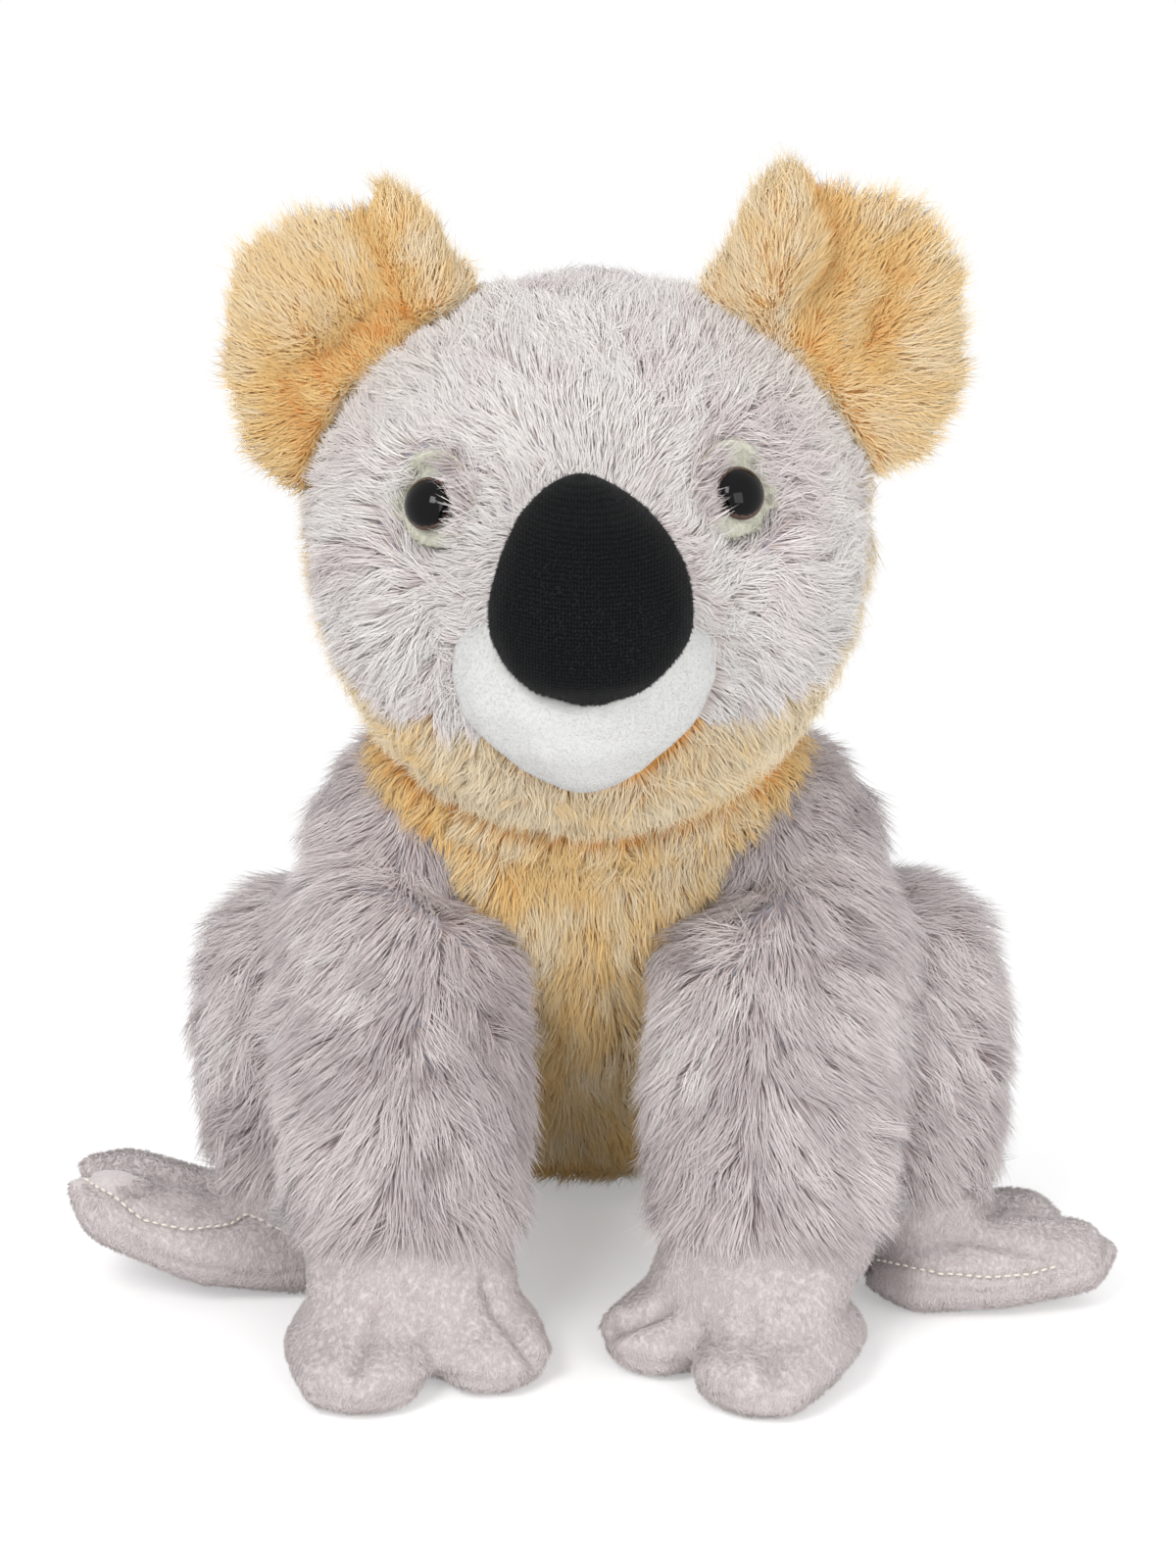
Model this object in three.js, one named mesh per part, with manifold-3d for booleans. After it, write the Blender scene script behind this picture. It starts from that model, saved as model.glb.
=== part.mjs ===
// A seated plush koala, sewn from panels of long and short plush over a soft filling.
// Sizes are millimetres. The toy faces -Y, its own left is +X, and it sits on z = 0.
import * as THREE from 'three';
import { mergeVertices } from 'three/addons/utils/BufferGeometryUtils.js';
import Module from 'manifold-3d';

const wasm = await Module();
wasm.setup();

// Fabrics: the backing and its pile together
const longPile = 7;
const shortPile = 2.5;
const fleecePile = 5;
const jerseyThickness = 1.6;

// Clearances and cuts
const seamGap = 0.3;
const turnGap = 0.8;
const restCut = 0.5;
const overrun = 30;

// Head: a ball below its centre, drawn up into a crown above it
const headRadius = 67;
const crownHeight = 65;
const headCentreHeight = 195;
const headCentreBack = 15;
const headTiltDegrees = -2;
const neckOpeningRadius = 24;

// Snout, muzzle patch and nose pad, measured from the head's centre
const snoutHalfWidth = 36;
const snoutHalfLength = 42;
const snoutHalfHeight = 42;
const snoutForward = 46;
const snoutUp = -2;
const muzzleHalfWidth = 30;
const muzzleTop = 10;
const muzzleDrop = 44;
const noseHalfWidth = 23.5;
const noseHalfDepth = 16;
const noseHeight = 49;
const noseDrop = 11;
const noseForward = 84;
const noseLean = 14;

// Eyes: a glossy dome on a shank, held inside by a washer, on an oval of short pile
const eyeRadius = 6.2;
const eyeDomeHeight = 4.2;
const eyeShankRadius = 1.8;
const eyeShankLength = 13;
const washerRadius = 7;
const washerThickness = 1.6;
const washerDepth = 4.2;
const eyeSide = 38;
const eyeForward = 49;
const eyeUp = 27;
const eyePatchHalfWidth = 10;
const eyePatchHalfHeight = 11.5;

// Ears: a cream front sewn to a gray back, folded once near the head
const earRadius = 33;
const earHalfThickness = 8;
const earLobeHalfWidth = 23;
const earLobeOutward = 14;
const earFlapHalfWidth = 11.5;
const earFlapHalfHeight = 22;
const earFlapHalfThickness = 10;
const earFlapInward = 21;
const earFlapUp = 2;
const earHollowDepth = 3;
const earRise = 10;
const earSeamBack = 2;
const earKnuckleRadius = 4.5;
const earKnuckleLength = 40;
const earKnuckleDepth = 3;
const earBack = 4;
const earSwingDegrees = 15;

// Seams of the head's panels, measured from the head's centre
const cheekSeamBack = -8;
const cheekSeamUp = 6;
const chinSeamForward = 28;
const chinSeamDrop = 24;
const napeSeamBack = 24;

// Torso, leaning forward from the seat to the neck
const torsoHeight = 158;
const torsoHalfWidth = 60;
const torsoHalfDepth = 54;
const seatBack = 112;
const torsoLean = 92;
const seatEdge = 16;
const neckEdge = 16;
const bibHalfWidth = 56;

// Arms, hanging from shoulder balls in front of the body
const shoulderOut = 43.5;
const shoulderBack = 32;
const shoulderHeight = 117;
const shoulderRadius = 23;
const armHalfWidth = 32;
const armHalfDepth = 28;
const armReach = 43;
const wristHeight = 19;
const wristEdge = 9;
const hemHeight = 32;
const armholeRadius = 13;
const armSwingDegrees = 30;

// Front paws: two broad lobes with a seam along the side
const pawReach = 42;
const pawHeel = 12;
const pawLobeHalfWidth = 18.5;
const pawHalfThickness = 8.5;
const pawSpread = 17.5;
const pawSeamHeight = 6.5;

// Legs: a hip ball, a thigh up to the knee and a shin down to the ankle
const hipOut = 46;
const hipBack = 96;
const hipHeight = 42;
const hipRadius = 27;
const thighHalfWidth = 27;
const kneeOut = 74;
const kneeBack = 34;
const kneeHeight = 79;
const kneeEdge = 25;
const ankleBack = 20;
const shinHalfWidth = 24;
const cuffHeight = 28;
const hipOpeningRadius = 14;
const legSwingDegrees = 35;

// Feet: two narrower lobes, turned outward
const footReach = 50;
const footToeLift = 10;
const footHeel = 16;
const footLobeHalfWidth = 14.5;
const footHalfThickness = 8.5;
const footSpread = 12;
const footSeamHeight = 9;

// How the two sides differ in the seated pose: right is the toy's own right, at -X
const sides = [
  {
    side: 'right', sign: -1, earSlope: 43, earRiseShare: 0.7, pawTurn: 12,
    legSplay: -1, ankleShare: 1.65, footTurn: 88, footShare: 1.02, toeLiftShare: 1.9,
  },
  {
    side: 'left', sign: 1, earSlope: 46, earRiseShare: 1.3, pawTurn: 36,
    legSplay: 5, ankleShare: 0.9, footTurn: 98, footShare: 0.86, toeLiftShare: 0.5,
  },
];

const grayPlush = new THREE.Color(0xc4c0c6);
const creamPlush = new THREE.Color(0xecd2a2);
const pawPlush = new THREE.Color(0xbab2b3);
const whiteFleece = new THREE.Color(0xe9e8e6);
const blackJersey = new THREE.Color(0x191b1d);
const blackGlass = new THREE.Color(0x0b0908);
const patchPlush = new THREE.Color(0xd8d8cb);
const wadding = new THREE.Color(0xf2f1ec);
const clearNylon = new THREE.Color(0xe0e0dc);

// Each fabric is dull and each moulded eye is glossy
const fabricRoughness = 0.95;
const glossRoughness = 0.08;
const nylonRoughness = 0.5;

const xAxis = new THREE.Vector3(1, 0, 0);
const yAxis = new THREE.Vector3(0, 1, 0);
const zAxis = new THREE.Vector3(0, 0, 1);
const toRadians = THREE.MathUtils.degToRad;

// A closed geometry as a solid that can be joined and cut
function solidOf(geometry, matrix) {
  const bare = geometry.clone();
  bare.deleteAttribute('normal');
  bare.deleteAttribute('uv');
  if (matrix) bare.applyMatrix4(matrix);
  const merged = mergeVertices(bare);
  return new wasm.Manifold(new wasm.Mesh({
    numProp: 3,
    vertProperties: new Float32Array(merged.attributes.position.array),
    triVerts: new Uint32Array(merged.index.array),
  }));
}

// The solid's triangles as a flat-shaded geometry
function geometryOf(solid) {
  const mesh = solid.getMesh();
  const geometry = new THREE.BufferGeometry();
  geometry.setAttribute('position', new THREE.BufferAttribute(mesh.vertProperties, mesh.numProp));
  geometry.setIndex(new THREE.BufferAttribute(mesh.triVerts, 1));
  geometry.computeVertexNormals();
  return geometry;
}

function moved(x, y, z) {
  return new THREE.Matrix4().makeTranslation(x, y, z);
}

// A turn by an angle about an axis through a point
function turnedAbout(point, axis, degrees) {
  return moved(point.x, point.y, point.z)
    .multiply(new THREE.Matrix4().makeRotationAxis(axis, toRadians(degrees)))
    .multiply(moved(-point.x, -point.y, -point.z));
}

function subtractAll(solid, cutters) {
  return cutters.reduce((rest, cutter) => rest.subtract(cutter), solid);
}

// How finely each kind of round form is faceted
const headFacets = { around: 16, along: 10 };
const coreFacets = { around: 10, along: 5 };
const recessFacets = { around: 20, along: 10 };
const jointFacets = { around: 14, along: 6 };
const limbCoreFacets = { around: 7, along: 4 };
const padFacets = { around: 8, along: 4 };
const padCoreFacets = { around: 6, along: 4 };
const earFacets = { around: 9, along: 5 };
const eyeAround = 10;
const earKnuckleAround = 8;

// A solid moved by a matrix
function turnSolid(solid, matrix) {
  return solidOf(geometryOf(solid), matrix);
}

// An ellipsoid whose poles lie along a chosen axis
function ball(centre, halfX, halfY, halfZ, pole, { around, along }) {
  const unit = new THREE.SphereGeometry(1, around, along);
  unit.applyQuaternion(new THREE.Quaternion().setFromUnitVectors(yAxis, pole));
  return unit.scale(halfX, halfY, halfZ).translate(centre.x, centre.y, centre.z);
}

// A cylinder from one point to another
function rod(from, to, radius, around = 16) {
  const span = to.clone().sub(from);
  const geometry = new THREE.CylinderGeometry(radius, radius, span.length(), around);
  geometry.applyQuaternion(new THREE.Quaternion().setFromUnitVectors(yAxis, span.clone().normalize()));
  const middle = from.clone().add(to).multiplyScalar(0.5);
  return geometry.translate(middle.x, middle.y, middle.z);
}

// A box given by its two corners
function block(low, high) {
  const size = high.clone().sub(low);
  const middle = high.clone().add(low).multiplyScalar(0.5);
  return new THREE.BoxGeometry(size.x, size.y, size.z).translate(middle.x, middle.y, middle.z);
}

// An outline of [across, up] points, drawn in the XZ plane and pushed through in Y
function plate(outline, fromY, toY) {
  const shape = new THREE.Shape(outline.map(([across, up]) => new THREE.Vector2(across, up)));
  const geometry = new THREE.ExtrudeGeometry(shape, { depth: toY - fromY, bevelEnabled: false });
  return geometry.rotateX(Math.PI / 2).translate(0, toY, 0);
}

// An outline of [forward or back, up] points, drawn in the YZ plane and pushed through in X
function slab(outline, fromX, toX) {
  const shape = new THREE.Shape(outline.map(([along, up]) => new THREE.Vector2(along, up)));
  const geometry = new THREE.ExtrudeGeometry(shape, { depth: toX - fromX, bevelEnabled: false });
  return geometry.rotateX(Math.PI / 2).rotateZ(Math.PI / 2).translate(fromX, 0, 0);
}

// A stuffed form: an oval section that swells and tapers along a spine, round at both ends.
// Each station of the spine is { at, wide, deep }, and inset shrinks the form on every side.
function stuffed({ stations, startCap, endCap, level = false, around, along }, inset = 0) {
  const points = stations.map(({ at }) => at.clone());
  const last = points.length - 1;
  points[0].addScaledVector(points[1].clone().sub(points[0]).normalize(), inset);
  points[last].addScaledVector(points[last - 1].clone().sub(points[last]).normalize(), inset);
  const sizes = stations.map(({ wide, deep }) => new THREE.Vector3(wide - inset, deep - inset, 0));
  const spine = new THREE.CatmullRomCurve3(points, false, 'catmullrom');
  const size = new THREE.CatmullRomCurve3(sizes, false, 'catmullrom');
  const shares = Array.from({ length: along + 1 }, (_, i) => (1 - Math.cos((Math.PI * i) / along)) / 2);
  const places = shares.map((share) => spine.getPoint(share));
  const travelled = [0];
  for (let i = 1; i <= along; i += 1) {
    travelled.push(travelled[i - 1] + places[i].distanceTo(places[i - 1]));
  }
  const rounding = (distance, cap) => Math.sqrt(1 - (1 - Math.min(1, distance / cap)) ** 2);
  const positions = [places[0].toArray()];
  for (let i = 1; i < along; i += 1) {
    const { x: wide, y: deep } = size.getPoint(shares[i]);
    const ahead = level ? zAxis : spine.getTangent(shares[i]);
    const sideways = xAxis.clone().addScaledVector(ahead, -xAxis.dot(ahead)).normalize();
    const upward = ahead.clone().cross(sideways);
    const round = rounding(travelled[i], startCap) * rounding(travelled[along] - travelled[i], endCap);
    for (let j = 0; j < around; j += 1) {
      const angle = (2 * Math.PI * j) / around;
      positions.push(places[i].clone()
        .addScaledVector(sideways, wide * round * Math.cos(angle))
        .addScaledVector(upward, deep * round * Math.sin(angle)).toArray());
    }
  }
  positions.push(places[along].toArray());
  const faces = [];
  const ringPoint = (ring, j) => 1 + ring * around + (j % around);
  const end = positions.length - 1;
  for (let j = 0; j < around; j += 1) {
    faces.push(0, ringPoint(0, j + 1), ringPoint(0, j));
    faces.push(end, ringPoint(along - 2, j), ringPoint(along - 2, j + 1));
    for (let ring = 0; ring < along - 2; ring += 1) {
      faces.push(ringPoint(ring, j), ringPoint(ring, j + 1), ringPoint(ring + 1, j + 1));
      faces.push(ringPoint(ring, j), ringPoint(ring + 1, j + 1), ringPoint(ring + 1, j));
    }
  }
  const geometry = new THREE.BufferGeometry();
  geometry.setAttribute('position', new THREE.Float32BufferAttribute(positions.flat(), 3));
  return geometry.setIndex(faces);
}

const koala = new THREE.Group();

// Where a group stands in the toy's own frame
function placeOf(group) {
  const place = new THREE.Vector3();
  for (let carrier = group; carrier; carrier = carrier.parent) place.add(carrier.position);
  return place;
}

// A named piece of one material, hung in the group that carries it
function addPiece(group, name, solid, color, roughness = fabricRoughness) {
  const mesh = new THREE.Mesh(geometryOf(solid), new THREE.MeshStandardMaterial({ color, roughness }));
  mesh.name = name;
  const place = placeOf(group);
  mesh.geometry.translate(-place.x, -place.y, -place.z);
  group.add(mesh);
}

// A group at a joint's pivot, inside the group that carries the joint
function addPivot(group, point) {
  const pivot = new THREE.Group();
  pivot.position.copy(point).sub(placeOf(group));
  group.add(pivot);
  return pivot;
}

// Everything below the floor, which flattens what the toy rests on
const reach = headCentreHeight + overrun;
const floorBlock = solidOf(block(
  new THREE.Vector3(-reach, -reach, -overrun),
  new THREE.Vector3(reach, reach, 0),
));

// Head forms, tilted a little about the line of sight
const headCentre = new THREE.Vector3(0, headCentreBack, headCentreHeight);
const headTilt = turnedAbout(headCentre, yAxis, headTiltDegrees);

function inHead(x, y, z) {
  return new THREE.Vector3(x, y, z).add(headCentre);
}

function skullGeometry(inset, { around, along }) {
  const radius = headRadius - inset;
  const geometry = ball(new THREE.Vector3(), radius, radius, radius, zAxis, { around, along });
  const crownShare = (crownHeight - inset) / radius;
  const position = geometry.attributes.position;
  for (let i = 0; i < position.count; i += 1) {
    if (position.getZ(i) > 0) position.setZ(i, position.getZ(i) * crownShare);
  }
  return geometry.translate(headCentre.x, headCentre.y, headCentre.z);
}

function snoutGeometry(inset, facets) {
  return ball(inHead(0, -snoutForward, snoutUp), snoutHalfWidth - inset,
    snoutHalfLength - inset, snoutHalfHeight - inset, zAxis, facets);
}

function headForm(inset, facets) {
  return solidOf(skullGeometry(inset, facets), headTilt).add(solidOf(snoutGeometry(inset, facets), headTilt));
}

const noseShares = [
  { up: 0, lean: 0.3, wide: 0.5, deep: 0.62 },
  { up: 0.16, lean: 0.06, wide: 0.88, deep: 0.94 },
  { up: 0.4, lean: 0, wide: 1, deep: 1 },
  { up: 0.68, lean: 0.28, wide: 0.88, deep: 0.94 },
  { up: 0.88, lean: 0.68, wide: 0.64, deep: 0.84 },
  { up: 1, lean: 1, wide: 0.44, deep: 0.6 },
];

// The nose is egg-shaped, widest below its middle, and leans back at the top
const noseForm = {
  stations: noseShares.map(({ up, lean, wide, deep }) => ({
    at: inHead(0, noseLean * lean - noseForward, noseHeight * up - noseDrop),
    wide: noseHalfWidth * wide,
    deep: noseHalfDepth * deep,
  })),
  startCap: noseDrop,
  endCap: noseDrop,
  level: true,
  around: 12,
  along: 6,
};

// Torso form: level ovals whose centres lean forward from the seat to the neck
const torsoShares = [
  { up: 0, lean: 0, wide: 0.86, deep: 0.84 },
  { up: 0.16, lean: 0.07, wide: 1, deep: 1 },
  { up: 0.35, lean: 0.28, wide: 1, deep: 0.98 },
  { up: 0.54, lean: 0.51, wide: 0.95, deep: 0.89 },
  { up: 0.73, lean: 0.74, wide: 0.92, deep: 0.8 },
  { up: 0.89, lean: 0.92, wide: 0.9, deep: 0.72 },
  { up: 1, lean: 1, wide: 0.78, deep: 0.62 },
];
const torsoForm = {
  stations: torsoShares.map(({ up, lean, wide, deep }) => ({
    at: new THREE.Vector3(0, seatBack - torsoLean * lean, torsoHeight * up - restCut),
    wide: torsoHalfWidth * wide,
    deep: torsoHalfDepth * deep,
  })),
  startCap: seatEdge,
  endCap: neckEdge,
  level: true,
  around: 12,
  along: 8,
};
const torsoCore = { ...torsoForm, around: 10, along: 5 };

// Shoulder and hip balls are round about the axes that the limbs swing on
for (const pose of sides) {
  pose.shoulder = new THREE.Vector3(pose.sign * shoulderOut, shoulderBack, shoulderHeight);
  pose.hip = new THREE.Vector3(pose.sign * hipOut, hipBack, hipHeight);
}

function jointBall(centre, radius, pole, facets = jointFacets) {
  return solidOf(ball(centre, radius, radius, radius, pole, facets));
}

function recesses(clearance) {
  return sides.flatMap(({ shoulder, hip }) => [
    jointBall(shoulder, shoulderRadius + clearance, xAxis),
    jointBall(hip, hipRadius + clearance, zAxis),
  ]);
}

// Torso: a bib panel in front, a back panel round the rest, and the filling inside
const headRecess = solidOf(skullGeometry(-turnGap, recessFacets), headTilt);
const torsoSolid = subtractAll(solidOf(stuffed(torsoForm)), [headRecess, ...recesses(turnGap), floorBlock]);
const torsoSkin = torsoSolid.subtract(solidOf(stuffed(torsoCore, longPile)));
const bibShares = [
  { up: 1, wide: 1 },
  { up: 0.84, wide: 1 },
  { up: 0.6, wide: 0.62 },
  { up: 0.36, wide: 0.36 },
  { up: 0.06, wide: 0.4 },
];

// The bib's outline, from the neck down one side and up the other, grown by a margin
function bibOutline(margin) {
  const oneSide = bibShares.map(({ up, wide }) => [bibHalfWidth * wide + margin, torsoHeight * up]);
  oneSide[oneSide.length - 1][1] -= margin;
  return [...oneSide, ...oneSide.map(([across, up]) => [-across, up]).reverse()];
}

// The bib reaches back to the middle of each level of the leaning torso
function bibCutter(margin) {
  const front = -torsoHalfDepth - overrun;
  const middle = torsoShares.map(({ up, lean }) => [seatBack - torsoLean * lean + margin, torsoHeight * up]);
  const frontHalf = slab([[front, 0], ...middle, [front, torsoHeight]], -torsoHalfWidth, torsoHalfWidth);
  return solidOf(plate(bibOutline(margin), front, seatBack)).intersect(solidOf(frontHalf));
}

addPiece(koala, 'torso_back_panel', torsoSkin.subtract(bibCutter(seamGap)), grayPlush);
addPiece(koala, 'bib_panel', torsoSkin.intersect(bibCutter(0)), creamPlush);
addPiece(koala, 'torso_filling',
  solidOf(stuffed(torsoCore, longPile + seamGap)).intersect(torsoSolid), wadding);

// Head: seams part the mask in front, the nape behind and the chin panel between them
const headGroup = addPivot(koala, headCentre);
const headSolid = headForm(0, headFacets);
const headCore = headForm(longPile, coreFacets);
const noseOuter = solidOf(stuffed(noseForm, -seamGap), headTilt);

function headSlab(outline) {
  const placed = outline.map(([back, up]) => [headCentreBack + back, headCentreHeight + up]);
  return solidOf(slab(placed, -reach, reach), headTilt);
}

const earSeamUp = Math.cos(toRadians(sides[1].earSlope)) * headRadius;

function maskSide(margin) {
  return headSlab([
    [earBack + margin, reach], [earBack + margin, earSeamUp], [cheekSeamBack + margin, cheekSeamUp],
    [-chinSeamForward, -chinSeamDrop - margin], [-reach, -chinSeamDrop - margin], [-reach, reach],
  ]);
}

function napeSide(margin) {
  return headSlab([
    [earBack - margin, reach], [earBack - margin, earSeamUp], [napeSeamBack - margin, 0],
    [napeSeamBack - margin, -reach], [reach, -reach], [reach, reach],
  ]);
}

// The muzzle patch runs from beside the nose down to the chin
const muzzleShares = [
  { down: 0, wide: 0.7 }, { down: 0.14, wide: 1 }, { down: 0.55, wide: 0.86 },
  { down: 0.86, wide: 0.46 }, { down: 1, wide: 0.12 },
];

function muzzleCutter(margin) {
  const oneSide = muzzleShares.map(({ down, wide }) => [
    muzzleHalfWidth * wide + margin,
    headCentreHeight + muzzleTop - (muzzleTop + muzzleDrop + margin) * down,
  ]);
  const outline = [...oneSide, ...oneSide.map(([across, up]) => [-across, up]).reverse()];
  return solidOf(plate(outline, -reach, headCentreBack - snoutForward), headTilt);
}

// A drill with an oval section, sunk from above the head's surface along an eye's axis
function eyeFrame(sign) {
  const toward = new THREE.Vector3(sign * eyeSide, -eyeForward, eyeUp);
  const surface = 1 / Math.hypot(Math.hypot(toward.x, toward.y) / headRadius, toward.z / crownHeight);
  const at = inHead(0, 0, 0).addScaledVector(toward, surface).applyMatrix4(headTilt);
  const out = new THREE.Vector3(toward.x, toward.y, toward.z * (headRadius / crownHeight) ** 2)
    .transformDirection(headTilt);
  const across = zAxis.clone().cross(out).normalize();
  const upward = out.clone().cross(across).negate();
  const frame = new THREE.Matrix4().makeBasis(upward, out, across.clone().negate());
  return frame.setPosition(at);
}

function eyeDrill(sign, halfHeight, halfWidth, from, to) {
  const geometry = new THREE.CylinderGeometry(1, 1, to - from, eyeAround);
  geometry.scale(halfHeight, 1, halfWidth).translate(0, (from + to) / 2, 0);
  return solidOf(geometry, eyeFrame(sign));
}

function eyeLathe(sign, profile) {
  const points = profile.map(([radius, out]) => new THREE.Vector2(radius, out));
  return solidOf(new THREE.LatheGeometry(points, eyeAround), eyeFrame(sign));
}

const patchLift = shortPile - longPile;
const eyeBase = patchLift + seamGap;
const washerTop = -longPile - washerDepth;
const eyeRim = Array.from({ length: 5 }, (_, i) => {
  const angle = (Math.PI / 2) * (i / 4);
  return [eyeRadius * Math.cos(angle), eyeBase + eyeDomeHeight * Math.sin(angle)];
});
eyeRim[eyeRim.length - 1][0] = 0;

// The ear's chord lies along the head's surface, and the ear swings about it
function earFrame({ sign, earSlope }) {
  const slope = toRadians(earSlope);
  const normal = new THREE.Vector3(sign * Math.sin(slope), 0, Math.cos(slope));
  const surface = 1 / Math.hypot(normal.x / headRadius, normal.z / crownHeight);
  const at = inHead(0, earBack, 0).addScaledVector(normal, surface - earKnuckleDepth);
  const chord = yAxis.clone().cross(normal);
  const frame = new THREE.Matrix4().makeBasis(chord, yAxis, normal);
  return frame.setPosition(at).premultiply(headTilt);
}

function knuckle(pose, clearance) {
  const half = earKnuckleLength / 2 + clearance;
  return solidOf(rod(new THREE.Vector3(-half, 0, 0), new THREE.Vector3(half, 0, 0),
    earKnuckleRadius + clearance, earKnuckleAround), earFrame(pose));
}

// The ear: a round disc, a larger outer lobe and a smaller folded flap, with a hollow between
function earForm(pose) {
  const { sign, earSlope, earRiseShare } = pose;
  const upright = -sign * toRadians(earSlope);
  const origin = new THREE.Vector3();
  const middle = earKnuckleDepth + earRise * earRiseShare;
  const disc = ball(origin, earRadius, earHalfThickness, earRadius, yAxis, earFacets).translate(0, 0, middle);
  const lobe = ball(origin, earLobeHalfWidth, earHalfThickness + earSeamBack, earRadius, yAxis, earFacets)
    .rotateY(upright).translate(sign * earLobeOutward, -earSeamBack, middle);
  const flap = ball(origin, earFlapHalfWidth, earFlapHalfThickness, earFlapHalfHeight, yAxis, earFacets)
    .rotateY(upright).translate(-sign * earFlapInward, -earHalfThickness / 2, middle + earFlapUp);
  const hollow = ball(origin, earLobeHalfWidth / 2, earHollowDepth, earRadius / 2, yAxis, earFacets)
    .rotateY(upright).translate(0, -earHalfThickness - earSeamBack, middle);
  const [discSolid, lobeSolid, flapSolid, hollowSolid] =
    [disc, lobe, flap, hollow].map((form) => solidOf(form, earFrame(pose)));
  return discSolid.add(lobeSolid).add(flapSolid).subtract(hollowSolid);
}

function earHalf(pose, back) {
  const half = reach / 2;
  const box = back
    ? block(new THREE.Vector3(-half, seamGap / 2, -half), new THREE.Vector3(half, half, half))
    : block(new THREE.Vector3(-half, -half, -half), new THREE.Vector3(half, -seamGap / 2, half));
  return solidOf(box, earFrame(pose));
}

const headTop = headForm(-seamGap, headFacets);

function clearOfHead(pose, solid) {
  const frame = earFrame(pose);
  const at = new THREE.Vector3().setFromMatrixPosition(frame);
  const chord = new THREE.Vector3().setFromMatrixColumn(frame, 0);
  return [-earSwingDegrees, earSwingDegrees].reduce(
    (rest, degrees) => rest.subtract(turnSolid(headTop, turnedAbout(at, chord, degrees))), solid);
}

const neckRod = (clearance) => solidOf(rod(inHead(0, 0, -reach), inHead(0, 0, 0),
  neckOpeningRadius - clearance, recessFacets.along));
const neckOpening = neckRod(0);
const neckPlug = neckRod(seamGap).intersect(headSolid);
const earGrooves = sides.map((pose) => knuckle(pose, turnGap));
const eyeSockets = sides.map(({ sign }) =>
  eyeDrill(sign, eyePatchHalfHeight + seamGap, eyePatchHalfWidth + seamGap, -longPile * 2, overrun));
const headSkin = subtractAll(headSolid, [headCore, neckOpening, noseOuter, ...earGrooves]);

addPiece(headGroup, 'face_mask_panel',
  subtractAll(headSkin.intersect(maskSide(0)), [muzzleCutter(seamGap), ...eyeSockets]), grayPlush);
addPiece(headGroup, 'nape_panel', headSkin.intersect(napeSide(-seamGap)), grayPlush);
addPiece(headGroup, 'chin_panel',
  subtractAll(headSkin, [maskSide(seamGap), napeSide(0), muzzleCutter(seamGap)]), creamPlush);
addPiece(headGroup, 'muzzle_panel',
  subtractAll(headForm(longPile - fleecePile, headFacets).intersect(muzzleCutter(0)),
    [headCore, noseOuter]), whiteFleece);
addPiece(headGroup, 'nose_pad', subtractAll(solidOf(stuffed(noseForm), headTilt),
  [solidOf(stuffed(noseForm, jerseyThickness), headTilt), headCore]), blackJersey);

const washerPockets = sides.map(({ sign }) => eyeDrill(sign, washerRadius + seamGap, washerRadius + seamGap,
  washerTop - washerThickness - seamGap, overrun));
const shankHoles = sides.map(({ sign }) =>
  eyeDrill(sign, eyeShankRadius + seamGap, eyeShankRadius + seamGap, -overrun, overrun));
const headFilling = headForm(longPile + seamGap, coreFacets)
  .add(solidOf(stuffed(noseForm, jerseyThickness + seamGap), headTilt)).add(neckPlug);
addPiece(headGroup, 'head_filling', subtractAll(headFilling, [...washerPockets, ...shankHoles]), wadding);

for (const pose of sides) {
  const { side, sign } = pose;
  const patchSkin = headForm(-patchLift, headFacets).subtract(headCore);
  const patchDrill = eyeDrill(sign, eyePatchHalfHeight, eyePatchHalfWidth, washerTop + seamGap, overrun);
  const patch = patchSkin.intersect(patchDrill)
    .subtract(eyeDrill(sign, eyeShankRadius + seamGap, eyeShankRadius + seamGap, -overrun, overrun));
  addPiece(headGroup, `eye_patch_${side}`, patch, patchPlush);
  const eye = eyeLathe(sign, [[0, eyeBase - eyeShankLength], [eyeShankRadius, eyeBase - eyeShankLength],
    [eyeShankRadius, eyeBase], ...eyeRim]);
  addPiece(headGroup, `eye_${side}`, eye, blackGlass, glossRoughness);
  const bore = eyeShankRadius + seamGap;
  const washer = eyeLathe(sign, [[bore, washerTop], [bore, washerTop - washerThickness],
    [washerRadius, washerTop - washerThickness], [washerRadius, washerTop], [bore, washerTop]]);
  addPiece(headGroup, `eye_washer_${side}`, washer, clearNylon, nylonRoughness);

  const earPivot = addPivot(headGroup, new THREE.Vector3().setFromMatrixPosition(earFrame(pose)));
  const ear = clearOfHead(pose, earForm(pose));
  addPiece(earPivot, `ear_back_${side}`,
    ear.intersect(earHalf(pose, true)).add(knuckle(pose, 0)), grayPlush);
  addPiece(earPivot, `ear_front_${side}`,
    ear.intersect(earHalf(pose, false)).subtract(knuckle(pose, seamGap)), creamPlush);
}

// A paw or foot: two lobes side by side from the heel to the toes, one a little smaller,
// flat underneath
const smallLobeShare = 0.88;
const toeCapShare = 0.8;
const padShares = [
  { along: -1, apart: 0.4, wide: 0.8, deep: 0.9, lift: 0 },
  { along: 0.2, apart: 0.65, wide: 1, deep: 1.25, lift: 0 },
  { along: 0.62, apart: 0.92, wide: 1, deep: 1.05, lift: 0.35 },
  { along: 1, apart: 1.1, wide: 0.88, deep: 0.85, lift: 1 },
];

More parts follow.
